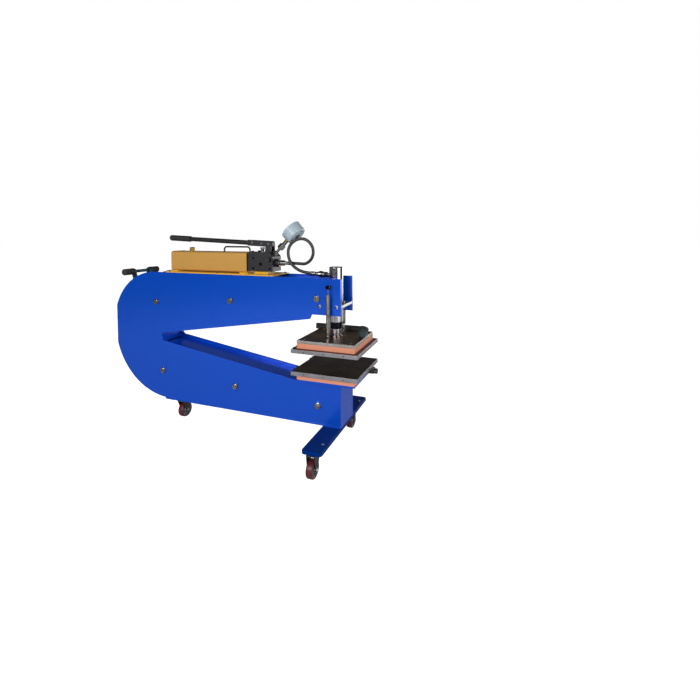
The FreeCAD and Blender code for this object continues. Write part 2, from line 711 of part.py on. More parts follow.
tank = box("tank_outside", "front_x - tank_rear_reach", "-tank_width / 2", FEET_TOP,
           "tank_rear_reach - tank_front_reach", "tank_width", "tank_height")
tank = rounded("tank_rounded", tank, D.tank_corner, along(Vector(1, 0, 0)))
room = box("tank_inside", "front_x - tank_rear_reach + tank_wall", "-tank_width / 2 + 2 * tank_wall",
           f"{FEET_TOP} + 2 * tank_wall", "tank_rear_reach - tank_front_reach",
           "tank_width - 4 * tank_wall", "tank_height - 4 * tank_wall")
node(cut("pump_tank", tank, room), "pump_tank")

BLOCK_TOP, BLOCK_BOTTOM = FEET_TOP + D.block_height, PLATE_TOP + D.block_lift
block_front, tank_end = D.front_x - D.block_front_reach, D.front_x - D.tank_front_reach
blank = profile_pad("block_blank", polygon(
    (tank_end, BLOCK_BOTTOM), (tank_end, BLOCK_TOP),
    (block_front - D.block_chamfer, BLOCK_TOP), (block_front, BLOCK_TOP - D.block_chamfer),
    (block_front, BLOCK_BOTTOM),
), "block_width", "-block_width / 2")
plunger_bore = cylinder("plunger_bore", "front_x - plunger_reach", "0", FEET_TOP + 30,
                        "plunger_radius + running_gap", "block_height")
EAR_WALL, EAR_GAP, EAR_HALF = 7, 13.5, 17  # the two ears that carry the lever's pivot
ears = []
for side in (-1, 1):
    pivot_x = D.front_x - D.pivot_reach
    ear = profile_pad("pivot_ear", [
        [(pivot_x - EAR_HALF - 4, BLOCK_TOP - 4), (pivot_x - EAR_HALF + 4, D.pivot_height)],
        [(pivot_x - EAR_HALF + 4, D.pivot_height), (pivot_x, D.pivot_height + EAR_HALF - 4),
         (pivot_x + EAR_HALF - 4, D.pivot_height)],
        [(pivot_x + EAR_HALF - 4, D.pivot_height), (pivot_x + EAR_HALF - 4, BLOCK_TOP - 4)],
        [(pivot_x + EAR_HALF - 4, BLOCK_TOP - 4), (pivot_x - EAR_HALF - 4, BLOCK_TOP - 4)],
    ], f"{EAR_WALL}", f"{side * EAR_GAP - (EAR_WALL if side < 0 else 0)}")
    ears.append(ear)
PIN_RADIUS = 5
pin_hole = cylinder("pivot_hole", "front_x - pivot_reach", "-40", "pivot_height", PIN_RADIUS, "80", "y")
OUTLET_RADIUS = 19
boss = cylinder("outlet_boss", "front_x - block_front_reach - 2", "0", "outlet_height", OUTLET_RADIUS, 16, "x")
body = fuse("block_body", blank, boss, *ears)
node(cut("pump_block", body, plunger_bore, pin_hole), "pump_block")

pin = revolved("pivot_pin", [
    (-26, 7.5), (-23, 7.5), (-23, PIN_RADIUS), (22, PIN_RADIUS), (22, 7.5), (25, 7.5),
], at(D.pivot_reach, D.pivot_height), Vector(0, 1, 0))
node(pin, "pivot_pin")

node(revolved("pump_plunger", [
    (0, D.plunger_radius), (72, D.plunger_radius), (72, 12), (78, 12), (80, 10),
], at(D.plunger_reach, FEET_TOP + 38), Vector(0, 0, 1)), "pump_plunger")

node(revolved("filler_cap", [(0, 10), (3, 10), (3, 13), (18, 13), (20, 11)],
              at(D.cap_reach, FEET_TOP + D.tank_height), Vector(0, 0, 1)), "filler_cap")
node(revolved("release_valve", [(0, 6), (4, 6), (4, 10), (18, 10), (20, 8)],
              at(368, 846, -D.block_width / 2), Vector(0, -1, 0)), "release_valve")

BAIL_RADIUS, BAIL_HEIGHT, BAIL_CORNER = 4, 901, 14
bail_rear, bail_front = D.front_x - 642, D.front_x - 496
tank_top = FEET_TOP + D.tank_height
c = BAIL_CORNER
diag = c * (1 - math.sqrt(0.5))
bail_path = Part.Wire([
    Part.LineSegment(Vector(bail_rear, 0, tank_top), Vector(bail_rear, 0, BAIL_HEIGHT - c)).toShape(),
    Part.Arc(Vector(bail_rear, 0, BAIL_HEIGHT - c), Vector(bail_rear + diag, 0, BAIL_HEIGHT - diag),
             Vector(bail_rear + c, 0, BAIL_HEIGHT)).toShape(),
    Part.LineSegment(Vector(bail_rear + c, 0, BAIL_HEIGHT), Vector(bail_front - c, 0, BAIL_HEIGHT)).toShape(),
    Part.Arc(Vector(bail_front - c, 0, BAIL_HEIGHT), Vector(bail_front - diag, 0, BAIL_HEIGHT - diag),
             Vector(bail_front, 0, BAIL_HEIGHT - c)).toShape(),
    Part.LineSegment(Vector(bail_front, 0, BAIL_HEIGHT - c), Vector(bail_front, 0, tank_top)).toShape(),
])


def swept_tube(name, path, radius):
    """A round rod or tube along a wire of straight runs and tangent arcs."""
    first = path.OrderedEdges[0] if hasattr(path, "OrderedEdges") else path.Edges[0]
    tangent = first.tangentAt(first.FirstParameter)
    section = Part.Wire([Part.makeCircle(radius, first.valueAt(first.FirstParameter), tangent)])
    obj = doc.addObject("Part::Feature", name)
    obj.Shape = path.makePipeShell([section], True, False, 2)
    expected = math.pi * radius ** 2 * path.Length
    print(f"{name}: length {path.Length:.1f}, volume share {obj.Shape.Volume / expected:.4f}")
    return obj


node(swept_tube("carry_bail", bail_path, BAIL_RADIUS), "carry_bail")

# ---------------------------------------------------------------- pump lever

lever_way = Vector(-math.cos(math.radians(D.lever_angle)), 0, math.sin(math.radians(D.lever_angle)))
pivot = at(D.pivot_reach, D.pivot_height)
SOCKET_END = 112  # from the pivot to the socket's mouth
socket = revolved("socket_round", [(-16, 9), (-14, 12), (SOCKET_END, 12), (SOCKET_END, 14), (SOCKET_END + 10, 14)],
                  pivot, lever_way)
socket_hole = revolved("socket_pin_hole", [(-30, PIN_RADIUS + D.running_gap), (30, PIN_RADIUS + D.running_gap)],
                       pivot, Vector(0, 1, 0))
tube_start = 70
tube_room = revolved("socket_room", [(tube_start, 9), (SOCKET_END + 12, 9)], pivot, lever_way)
node(cut("lever_socket", socket, socket_hole, tube_room), "lever_socket")
GRIP_START = D.lever_length - 126
node(revolved("lever_tube", [
    (tube_start, 9), (SOCKET_END + 10, 9), (SOCKET_END + 10, D.lever_tube_radius), (GRIP_START, D.lever_tube_radius),
    (GRIP_START, 10), (D.lever_length - 4, 10),
], pivot, lever_way), "lever_tube")
grip = revolved("grip_solid", [
    (GRIP_START, D.lever_grip_radius), (D.lever_length - 5, D.lever_grip_radius),
    (D.lever_length, D.lever_grip_radius - 5),
], pivot, lever_way)
grip_room = revolved("grip_room", [(GRIP_START - 1, 10), (D.lever_length - 4, 10)], pivot, lever_way)
node(cut("lever_grip", grip, grip_room), "lever_grip")

# ---------------------------------------------------------------- gauge on its inclined stem

UP = Vector(1, 0, 1).normalize()  # along the stem, away from the pump
FACE = Vector(-1, 0, 1).normalize()  # the dial looks up and back towards the lever
gauge_centre = at(D.gauge_reach, D.gauge_height)
stem_start = Vector(block_front - D.block_chamfer / 2, 0, BLOCK_TOP - D.block_chamfer / 2)
stem_length = (gauge_centre - stem_start) * UP - D.gauge_radius
gauge_centre = stem_start + UP * (stem_length + D.gauge_radius)
stem_hexes = fuse(
    "stem_parts",
    hexagon("stem_base_hex", 24, 12, stem_start, UP),
    revolved("stem_tube", [(11, 7), (stem_length * 0.45, 7)], stem_start, UP),
    hexagon("stem_swivel", 27, 22, stem_start + UP * (stem_length * 0.42), UP),
    revolved("stem_neck", [(stem_length * 0.42 + 21, 9), (stem_length + 3, 9)], stem_start, UP),
)
case_back = gauge_centre - FACE * (D.gauge_depth / 2)
case_cutter = revolved("case_cutter", [(0, D.gauge_radius), (D.gauge_depth, D.gauge_radius)], case_back, FACE)
node(cut("gauge_stem", stem_hexes, case_cutter), "gauge_stem")

DIAL_DEPTH, RIM = 12, 6
case = revolved("case_solid", [
    (0, D.gauge_radius - 8), (4, D.gauge_radius - 2), (D.gauge_depth - 14, D.gauge_radius - 2),
    (D.gauge_depth - 14, D.gauge_radius), (D.gauge_depth, D.gauge_radius),
], case_back, FACE)
dial_room = revolved("dial_room", [
    (D.gauge_depth - DIAL_DEPTH, D.gauge_radius - RIM), (D.gauge_depth + 1, D.gauge_radius - RIM),
], case_back, FACE)
node(cut("gauge_case", case, dial_room), "gauge_case")
hub = revolved("needle_hub", [
    (D.gauge_depth - DIAL_DEPTH + 0.5, 4), (D.gauge_depth - DIAL_DEPTH + 5, 4),
], case_back, FACE)
NEEDLE_LENGTH = 34
zero_way = (Vector(0, 1, 0) - UP).normalize()  # the needle rests at the lower left of the dial
needle_mid = case_back + FACE * (D.gauge_depth - DIAL_DEPTH + 2)
blade = doc.addObject("Part::Feature", "needle_blade")
blade_shape = Part.makeBox(NEEDLE_LENGTH + 12, 2.4, 1.2, Vector(-12, -1.2, 0))
across = FACE.cross(zero_way)
matrix = FreeCAD.Matrix(zero_way.x, across.x, FACE.x, 0, zero_way.y, across.y, FACE.y, 0,
                        zero_way.z, across.z, FACE.z, 0, 0, 0, 0, 1)
blade.Shape = blade_shape
blade.Placement = Placement(needle_mid, Placement(matrix).Rotation)
node(fuse("gauge_needle", hub, blade), "gauge_needle")

# ---------------------------------------------------------------- hose from pump to cylinder

node(revolved("pump_coupler", [
    (0, 11), (8, 11), (8, 13), (30, 13), (30, 10), (34, 10), (34, 8), (50, 8),
], Vector(block_front + 14, 0, D.outlet_height), Vector(1, 0, 0)), "pump_coupler")

HOSE_ROUTE = [  # (reach, y, height): out of the pump, once round a loop and into the cylinder
    (286, 0, 828), (241, 0, 828), (195, -3, 825), (159, -7, 859), (158, -11, 907), (192, -15, 942),
    (238, -19, 940), (275, -23, 908), (278, -25, 860), (257, -23, 819), (223, -13, 794), (189, 0, 786),
    (152, 0, 783.8),
]


def tube_path(points, share=0.45):
    """Straight runs joined by tangent arcs that are as large as the runs allow."""
    edges, here = [], points[0]
    smallest = 1e9
    for before, corner, after in zip(points, points[1:], points[2:]):
        a, b = before - corner, after - corner
        half = a.getAngle(b) / 2
        back = share * min(a.Length, b.Length)
        radius = back * math.tan(half)
        smallest = min(smallest, radius)
        a.normalize()
        b.normalize()
        start, end = corner + a * back, corner + b * back
        middle = corner + (a + b).normalize() * (radius / math.sin(half) - radius)
        edges += [Part.LineSegment(here, start).toShape(), Part.Arc(start, middle, end).toShape()]
        print(f"bend at {corner.x:.0f}, {corner.y:.0f}, {corner.z:.0f}: radius {radius:.1f}")
        here = end
    edges.append(Part.LineSegment(here, points[-1]).toShape())
    print(f"smallest radius {smallest:.1f}")
    return Part.Wire(edges)


hose_points = [at(reach, height, y) for reach, y, height in HOSE_ROUTE]
node(swept_tube("hose", tube_path(hose_points), D.hose_radius), "hose")

# ---------------------------------------------------------------- push handle at the rear

HANDLE_X = "front_x - handle_reach"
node(cylinder("handle_bar", HANDLE_X, "-handle_length / 2 + 4", "handle_height", "handle_bar_radius",
              "handle_length - 8", "y"), "handle_bar")
grips = []
for side in (-1, 1):
    end = Vector(D.front_x - D.handle_reach, side * D.handle_length / 2, D.handle_height)
    grip = revolved("grip_blank", [
        (0, D.handle_grip_radius - 4), (4, D.handle_grip_radius),
        (D.handle_grip_length - 3, D.handle_grip_radius), (D.handle_grip_length, D.handle_grip_radius - 1.5),
    ], end, Vector(0, -side, 0))
    room = revolved("grip_bore", [(4, D.handle_bar_radius), (D.handle_grip_length + 1, D.handle_bar_radius)],
                    end, Vector(0, -side, 0))
    grips.append(cut("push_grip", grip, room))
node(group("push_grips", *grips), "push_grips")

legs = []
LEG_THICKNESS, LEG_Y = 6, 48
LEG_HALF, LEG_LEAN, LEG_FOOT = 15, 30, 660  # half width, forward lean and lowest point of a leg
for side in (-1, 1):
    leg_x = D.front_x - D.handle_reach
    legs.append(profile_pad("handle_leg", [
        [(leg_x + LEG_LEAN - LEG_HALF, LEG_FOOT), (leg_x - LEG_HALF, D.handle_height)],
        [(leg_x - LEG_HALF, D.handle_height), (leg_x, D.handle_height + LEG_HALF),
         (leg_x + LEG_HALF, D.handle_height)],
        [(leg_x + LEG_HALF, D.handle_height), (leg_x + LEG_LEAN + LEG_HALF, LEG_FOOT)],
        [(leg_x + LEG_LEAN + LEG_HALF, LEG_FOOT), (leg_x + LEG_LEAN - LEG_HALF, LEG_FOOT)],
    ], f"{LEG_THICKNESS}", f"{side * LEG_Y - LEG_THICKNESS / 2}"))
filling = rear_path(D.spine_inset)
filling.append([filling[-1][-1], filling[0][0]])
inside = between("inside_of_spine", filling)
hole = cylinder("leg_hole", HANDLE_X, "-70", "handle_height", "handle_bar_radius", "140", "y")
node(group("handle_legs", *[cut("handle_leg_cut", leg, hole, inside) for leg in legs]), "handle_legs")

# ---------------------------------------------------------------- check and write

doc.recompute()
failed = [o.Label for o in doc.Objects if any(word in ("Invalid", "Error") for word in o.State)]
bad = [o.Label for o in NODES if o.Shape.isNull() or not o.Shape.isValid()]
if failed or bad:
    raise RuntimeError(f"failed: {failed}; not valid: {bad}")

os.makedirs("parts", exist_ok=True)
whole = FreeCAD.BoundBox()
for obj in NODES:
    obj.Shape.exportStep(f"parts/{obj.Label}.step")
    whole.add(obj.Shape.optimalBoundingBox(False))
print(len(NODES), "parts;", whole)
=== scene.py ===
"""The looks of a mobile deep-throat hydraulic heat press, built around its CAD frame.

Metres, +Z up, floor at Z = 0. +X points to the platens, the push handle is at -X, and the
lever side with the release valve is at -Y.
"""

import json
import logging
import math
from dataclasses import dataclass, field
from enum import Enum

import bmesh
import bpy
from mathutils import Matrix, Vector

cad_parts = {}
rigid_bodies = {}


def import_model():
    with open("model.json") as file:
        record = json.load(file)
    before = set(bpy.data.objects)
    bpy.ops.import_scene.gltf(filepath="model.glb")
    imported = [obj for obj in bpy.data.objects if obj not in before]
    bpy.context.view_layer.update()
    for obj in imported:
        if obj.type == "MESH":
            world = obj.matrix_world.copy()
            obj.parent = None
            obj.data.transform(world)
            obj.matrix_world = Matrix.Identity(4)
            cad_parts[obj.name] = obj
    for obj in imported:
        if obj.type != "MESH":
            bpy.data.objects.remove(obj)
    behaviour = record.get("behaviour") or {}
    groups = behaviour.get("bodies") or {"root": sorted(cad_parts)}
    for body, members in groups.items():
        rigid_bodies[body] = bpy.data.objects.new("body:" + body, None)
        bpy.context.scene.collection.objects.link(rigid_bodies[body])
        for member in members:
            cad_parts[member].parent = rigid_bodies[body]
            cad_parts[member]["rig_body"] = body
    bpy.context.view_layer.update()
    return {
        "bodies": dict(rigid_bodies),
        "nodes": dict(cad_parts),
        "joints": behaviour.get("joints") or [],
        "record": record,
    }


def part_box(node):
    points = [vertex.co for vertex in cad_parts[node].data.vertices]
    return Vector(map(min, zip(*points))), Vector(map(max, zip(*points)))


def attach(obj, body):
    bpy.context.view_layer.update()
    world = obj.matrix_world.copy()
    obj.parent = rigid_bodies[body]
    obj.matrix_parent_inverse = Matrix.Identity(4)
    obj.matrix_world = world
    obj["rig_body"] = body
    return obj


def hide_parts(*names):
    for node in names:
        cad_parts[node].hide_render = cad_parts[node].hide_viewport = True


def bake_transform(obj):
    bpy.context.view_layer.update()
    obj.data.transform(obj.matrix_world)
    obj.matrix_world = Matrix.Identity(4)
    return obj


MM = 0.001
TAU = 2 * math.pi
UP = Vector((0, 0, 1))
RIGHT = Vector((1, 0, 0))
ACROSS = Vector((0, 1, 0))
LOG = logging.getLogger("heat_press")

Profile = list[tuple[float, float]]


def srgb(red: int, green: int, blue: int) -> tuple[float, float, float, float]:
    """A linear colour from 0-255 display values.

    Args:
        red, green, blue: the display values.

    Returns:
        Linear red, green, blue and alpha.
    """
    linear = [c / 12.92 if c <= 0.04045 else ((c + 0.055) / 1.055) ** 2.4
              for c in (red / 255, green / 255, blue / 255)]
    return (*linear, 1.0)


# ---------------------------------------------------------------- shader trees


class Tree:
    """A shader node tree that is being wired."""

    def __init__(self, tree: bpy.types.NodeTree) -> None:
        """Take over a node tree and empty it."""
        self.tree = tree
        tree.nodes.clear()

    def node(self, kind: str, inputs: dict | None = None, **settings) -> bpy.types.Node:
        """Add a node.

        Args:
            kind: the node's type without its "ShaderNode" prefix.
            inputs: values or sockets by input name or index.
            settings: the node's own properties.

        Returns:
            The new node.
        """
        new = self.tree.nodes.new("ShaderNode" + kind)
        for key, value in settings.items():
            setattr(new, key, value)
        for key, value in (inputs or {}).items():
            self.feed(new.inputs[key], value)
        return new

    def feed(self, target: bpy.types.NodeSocket, value) -> None:
        """Link a socket into target, or set target's own value."""
        if isinstance(value, bpy.types.NodeSocket):
            self.tree.links.new(value, target)
        else:
            target.default_value = value

    def math(self, operation: str, first, second=0.0, clamp: bool = False) -> bpy.types.NodeSocket:
        """The result of a Math node."""
        return self.node("Math", {0: first, 1: second}, operation=operation, use_clamp=clamp).outputs[0]

    def mix(self, share, first, second) -> bpy.types.NodeSocket:
        """A colour mixed from first to second by share."""
        new = self.node("Mix", data_type="RGBA")
        for socket, value in zip((new.inputs[0], new.inputs[6], new.inputs[7]), (share, first, second)):
            self.feed(socket, value)
        return new.outputs[2]

    def span(self, value, low, high, to_low=0.0, to_high=1.0) -> bpy.types.NodeSocket:
        """value stretched from low-high to to_low-to_high, smoothly and clamped."""
        inputs = {"Value": value, "From Min": low, "From Max": high, "To Min": to_low, "To Max": to_high}
        return self.node("MapRange", inputs, interpolation_type="SMOOTHSTEP").outputs[0]

    def place(self, stretch=(1.0, 1.0, 1.0)) -> bpy.types.NodeSocket:
        """The piece's own coordinates in metres, stretched along its axes."""
        coordinates = self.node("TexCoord").outputs["Object"]
        return self.node("Mapping", {"Vector": coordinates, "Scale": stretch}).outputs[0]

    def noise(self, vector, scale, detail: float = 3.0) -> bpy.types.NodeSocket:
        """A noise value from 0 to 1."""
        inputs = {"Vector": vector, "Scale": scale, "Detail": detail}
        return self.node("TexNoise", inputs).outputs["Fac"]


class Effect(Enum):
    """The shader node groups that several finishes share."""

    MOTTLE = "mottle"
    EDGE_WEAR = "edge_wear"
    GRAIN = "grain"
    DUST = "dust"


class Effects:
    """Builds each shared node group once and places it in materials."""

    built: dict[Effect, bpy.types.NodeTree] = {}

    @classmethod
    def place(cls, tree: Tree, effect: Effect, **inputs) -> bpy.types.Node:
        """Add an effect to a material.

        Args:
            tree: the material's tree.
            effect: which group.
            inputs: the group's inputs; an underscore stands for a space.

        Returns:
            The group node.
        """
        if effect not in cls.built:
            cls.built[effect] = getattr(cls, effect.value)()
        new = tree.tree.nodes.new("ShaderNodeGroup")
        new.node_tree = cls.built[effect]
        for key, value in inputs.items():
            tree.feed(new.inputs[key.replace("_", " ")], value)
        return new

    @staticmethod
    def start(effect: Effect, inputs: dict[str, object], outputs: dict[str, str]) -> tuple[Tree, dict, dict]:
        """An empty group with its sockets.

        Args:
            effect: whose group it is.
            inputs: the default of each input.
            outputs: the kind of each output, "Float" or "Color".

        Returns:
            The group's tree, its input sockets and its output sockets by name.
        """
        group = bpy.data.node_groups.new(effect.value, "ShaderNodeTree")
        for name, default in inputs.items():
            kind = "Float" if isinstance(default, float) else ("Color" if len(default) == 4 else "Vector")
            socket = group.interface.new_socket(name=name, in_out="INPUT", socket_type="NodeSocket" + kind)
            socket.default_value = default
        for name, kind in outputs.items():
            group.interface.new_socket(name=name, in_out="OUTPUT", socket_type="NodeSocket" + kind)
        tree = Tree(group)
        source = group.nodes.new("NodeGroupInput")
        target = group.nodes.new("NodeGroupOutput")
        return (tree, {name: source.outputs[name] for name in inputs},
                {name: target.inputs[name] for name in outputs})

    @classmethod
    def mottle(cls) -> bpy.types.NodeTree:
        """Soft patches of a second colour, and the patches' mask."""
        tree, given, out = cls.start(
            Effect.MOTTLE,
            {"Color": (0.5, 0.5, 0.5, 1.0), "Shade": (0.3, 0.3, 0.3, 1.0), "Scale": 6.0, "Amount": 0.5},
            {"Color": "Color", "Mask": "Float"})
        place = tree.place()
        broad = tree.noise(place, given["Scale"], 4.0)
        fine = tree.noise(place, tree.math("MULTIPLY", given["Scale"], 9.0), 2.0)
        both = tree.math("ADD", tree.math("MULTIPLY", broad, 0.75), tree.math("MULTIPLY", fine, 0.25))
        mask = tree.span(both, 0.38, 0.66)
        share = tree.math("MULTIPLY", mask, given["Amount"])
        tree.feed(out["Color"], tree.mix(share, given["Color"], given["Shade"]))
        tree.feed(out["Mask"], mask)
        return tree.tree

    @classmethod
    def edge_wear(cls) -> bpy.types.NodeTree:
        """A mask of the edges where handling has rubbed the surface."""
        tree, given, out = cls.start(
            Effect.EDGE_WEAR, {"Width": 0.002, "Amount": 0.5, "Scale": 40.0}, {"Mask": "Float"})
        rounded = tree.node("Bevel", {"Radius": given["Width"]}, samples=4).outputs[0]
        plain = tree.node("NewGeometry").outputs["Normal"]
        alike = tree.node("VectorMath", {0: rounded, 1: plain}, operation="DOT_PRODUCT").outputs["Value"]
        edge = tree.span(tree.math("SUBTRACT", 1.0, alike), 0.01, 0.12)
        patches = tree.span(tree.noise(tree.place(), given["Scale"], 5.0), 0.42, 0.62)
        mask = tree.math("MULTIPLY", tree.math("MULTIPLY", edge, patches), given["Amount"], clamp=True)
        tree.feed(out["Mask"], mask)
        return tree.tree

    @classmethod
    def grain(cls) -> bpy.types.NodeTree:
        """Fine surface relief that can be drawn out along an axis, as brushing or casting leaves it."""
        tree, given, out = cls.start(
            Effect.GRAIN, {"Stretch": (1.0, 1.0, 1.0), "Scale": 500.0, "Contrast": 0.5},
            {"Height": "Float", "Mask": "Float"})
        stretched = tree.node("Mapping", {"Vector": tree.node("TexCoord").outputs["Object"],
                                          "Scale": given["Stretch"]}).outputs[0]
        relief = tree.noise(stretched, given["Scale"], 4.0)
        coarse = tree.noise(stretched, tree.math("MULTIPLY", given["Scale"], 0.13), 3.0)
        height = tree.math("ADD", tree.math("MULTIPLY", relief, given["Contrast"]), coarse)
        tree.feed(out["Height"], height)
        tree.feed(out["Mask"], tree.span(relief, 0.35, 0.65))
        return tree.tree

    @classmethod
    def dust(cls) -> bpy.types.NodeTree:
        """A mask of the dust that settles on faces that look up."""
        tree, given, out = cls.start(Effect.DUST, {"Scale": 30.0, "Amount": 0.3}, {"Mask": "Float"})
        normal = tree.node("SeparateXYZ", {0: tree.node("NewGeometry").outputs["Normal"]}).outputs["Z"]
        facing = tree.span(normal, 0.55, 0.95)
        patches = tree.span(tree.noise(tree.place(), given["Scale"], 6.0), 0.35, 0.75)
        tree.feed(out["Mask"], tree.math("MULTIPLY", tree.math("MULTIPLY", facing, patches), given["Amount"]))
        return tree.tree


# ---------------------------------------------------------------- finishes

SETTLED_DUST = srgb(176, 170, 160)
CLINGING_DUST = srgb(150, 146, 138)

@dataclass(frozen=True)
class Finish:
    """What every surface finish has: a name, a colour and the base shader's constants."""

    name: str
    color: tuple[float, float, float, float]
    roughness: float = 0.5
    metallic: float = 0.0
    slot: str = ""
    gloss: float = 0.5
    glint: tuple[float, float, float, float] = (1.0, 1.0, 1.0, 1.0)

    def material(self) -> bpy.types.Material:
        """The finish's material, built the first time it is asked for."""
        known = bpy.data.materials.get(self.name)
        if known:
            return known
        new = bpy.data.materials.new(self.name)
        new.use_nodes = True
        tree = Tree(new.node_tree)
        shader = tree.node("BsdfPrincipled", {"Base Color": self.color, "Metallic": self.metallic,
                                              "Roughness": self.roughness,
                                              "Specular IOR Level": self.gloss,
                                              "Specular Tint": self.glint})
        end = tree.node("OutputMaterial")
        tree.feed(end.inputs["Surface"], shader.outputs[0])
        self.dress(tree, shader)
        new.diffuse_color = self.color
        return new

    def dress(self, tree: Tree, shader: bpy.types.Node) -> None:
        """Wire the finish's own detail into the shader."""

    def relief(self, tree: Tree, shader: bpy.types.Node, height: bpy.types.NodeSocket,
               depth: float, strength: float, soften: float = 0.0) -> None:
        """Bump the surface, over edges that are softened when soften is above 0.

        Args:
            tree: the material's tree.
            shader: its base shader.
            height: the relief.
            depth: how deep the relief is, in metres.
            strength: the share of it that shows.
            soften: the radius of the edges' highlight, in metres.
        """
        inputs = {"Height": height, "Distance": depth, "Strength": strength}
        if soften:
            inputs["Normal"] = tree.node("Bevel", {"Radius": soften}, samples=4).outputs[0]
        tree.feed(shader.inputs["Normal"], tree.node("Bump", inputs).outputs[0])


@dataclass(frozen=True)
class Paint(Finish):
    """Sprayed enamel: orange peel, slow colour drift, rubbed edges and a little dust."""

    shade: tuple[float, float, float, float] = (0, 0, 0, 1)
    drift: float = 0.35
    bare: tuple[float, float, float, float] = (0.12, 0.12, 0.12, 1)
    wear: float = 0.35
    dust: float = 0.1
    coat: float = 0.25

    def dress(self, tree: Tree, shader: bpy.types.Node) -> None:
        """Drift, wear, dust and orange peel."""
        drift = Effects.place(tree, Effect.MOTTLE, Color=self.color, Shade=self.shade, Scale=2.4,
                              Amount=self.drift)
        wear = Effects.place(tree, Effect.EDGE_WEAR, Width=1.6 * MM, Amount=self.wear, Scale=55.0)
        dust = Effects.place(tree, Effect.DUST, Scale=14.0, Amount=self.dust)
        worn = tree.mix(wear.outputs["Mask"], drift.outputs["Color"], self.bare)
        tree.feed(shader.inputs["Base Color"], tree.mix(dust.outputs["Mask"], worn, SETTLED_DUST))
        rough = tree.math("MULTIPLY_ADD", drift.outputs["Mask"], 0.1)
        rough.node.inputs[2].default_value = self.roughness - 0.05
        tree.feed(shader.inputs["Roughness"], tree.math("ADD", rough, dust.outputs["Mask"], clamp=True))
        shader.inputs["Coat Weight"].default_value = self.coat
        shader.inputs["Coat Roughness"].default_value = 0.12
        peel = Effects.place(tree, Effect.GRAIN, Scale=420.0, Contrast=0.4)
        self.relief(tree, shader, peel.outputs["Height"], 0.25 * MM, 0.12, soften=1.2 * MM)


@dataclass(frozen=True)
class Metal(Finish):
    """Bare or plated metal: tool marks along a direction, stains and brighter edges."""

    metallic: float = 1.0
    stain: tuple[float, float, float, float] = (0.1, 0.09, 0.08, 1)
    stained: float = 0.3
    stain_scale: float = 14.0
    stretch: tuple[float, float, float] = (1.0, 1.0, 1.0)
    marks: float = 300.0
    depth: float = 0.06
    edge: float = 0.3

    def dress(self, tree: Tree, shader: bpy.types.Node) -> None:
        """Stains, tool marks and rubbed edges."""
        stain = Effects.place(tree, Effect.MOTTLE, Color=self.color, Shade=self.stain,
                              Scale=self.stain_scale, Amount=self.stained)
        edge = Effects.place(tree, Effect.EDGE_WEAR, Width=1.0 * MM, Amount=self.edge, Scale=90.0)
        bright = tuple(min(1.0, c * 1.5 + 0.08) for c in self.color[:3]) + (1.0,)
        tree.feed(shader.inputs["Base Color"], tree.mix(edge.outputs["Mask"], stain.outputs["Color"], bright))
        marks = Effects.place(tree, Effect.GRAIN, Stretch=self.stretch, Scale=self.marks, Contrast=0.8)
        rough = tree.math("MULTIPLY_ADD", marks.outputs["Mask"], 0.12)
        rough.node.inputs[2].default_value = max(0.02, self.roughness - 0.06)
        patchy = tree.math("MULTIPLY", stain.outputs["Mask"], 0.15 * self.stained)
        tree.feed(shader.inputs["Roughness"], tree.math("ADD", rough, patchy, clamp=True))
        self.relief(tree, shader, marks.outputs["Height"], self.depth * MM, 0.25, soften=0.5 * MM)


@dataclass(frozen=True)
class ReflectionTintedPlate(Metal):
    """Milled aluminium whose broad upper face carries a painted reflection, a yellow-brown tint."""

    # Painted reflection: top and its patches tint the faces that look up yellow-brown, as if they mirrored
    # something yellow above them.
    top: tuple[float, float, float, float] = (0.05, 0.035, 0.015, 1)
    reflection_patch: tuple[float, float, float, float] = (0.02, 0.02, 0.02, 1)

    def dress(self, tree: Tree, shader: bpy.types.Node) -> None:
        """The metal's detail, with a painted reflection tinting the faces that look up."""
        super().dress(tree, shader)
        sides = shader.inputs["Base Color"].links[0].from_socket
        # Painted reflection: a yellow-brown tint blended over faces that look up.
        painted_reflection = Effects.place(tree, Effect.MOTTLE, Color=self.top, Shade=self.reflection_patch, Scale=7.0, Amount=0.9)
        normal = tree.node("NewGeometry").outputs["Normal"]
        facing = tree.span(tree.node("SeparateXYZ", {0: normal}).outputs["Z"], 0.6, 0.9)
        tree.feed(shader.inputs["Base Color"], tree.mix(facing, sides, painted_reflection.outputs["Color"]))


@dataclass(frozen=True)
class Polymer(Finish):
    """Moulded plastic or rubber: fine moulding grain, scuffs and dust."""

    scuff: tuple[float, float, float, float] = (0.1, 0.1, 0.1, 1)
    scuffed: float = 0.3
    grain: float = 900.0
    dust: float = 0.15

    def dress(self, tree: Tree, shader: bpy.types.Node) -> None:
        """Scuffs, dust and moulding grain."""
        scuff = Effects.place(tree, Effect.MOTTLE, Color=self.color, Shade=self.scuff, Scale=22.0,
                              Amount=self.scuffed)
        edge = Effects.place(tree, Effect.EDGE_WEAR, Width=1.2 * MM, Amount=0.25, Scale=70.0)
        dust = Effects.place(tree, Effect.DUST, Scale=40.0, Amount=self.dust)
        worn = tree.mix(edge.outputs["Mask"], scuff.outputs["Color"], self.scuff)
        tree.feed(shader.inputs["Base Color"], tree.mix(dust.outputs["Mask"], worn, CLINGING_DUST))
        grain = Effects.place(tree, Effect.GRAIN, Scale=self.grain, Contrast=0.9)
        rough = tree.math("MULTIPLY_ADD", grain.outputs["Mask"], 0.14)
        rough.node.inputs[2].default_value = self.roughness - 0.07
        tree.feed(shader.inputs["Roughness"], rough)
        self.relief(tree, shader, grain.outputs["Height"], 0.12 * MM, 0.35, soften=0.6 * MM)


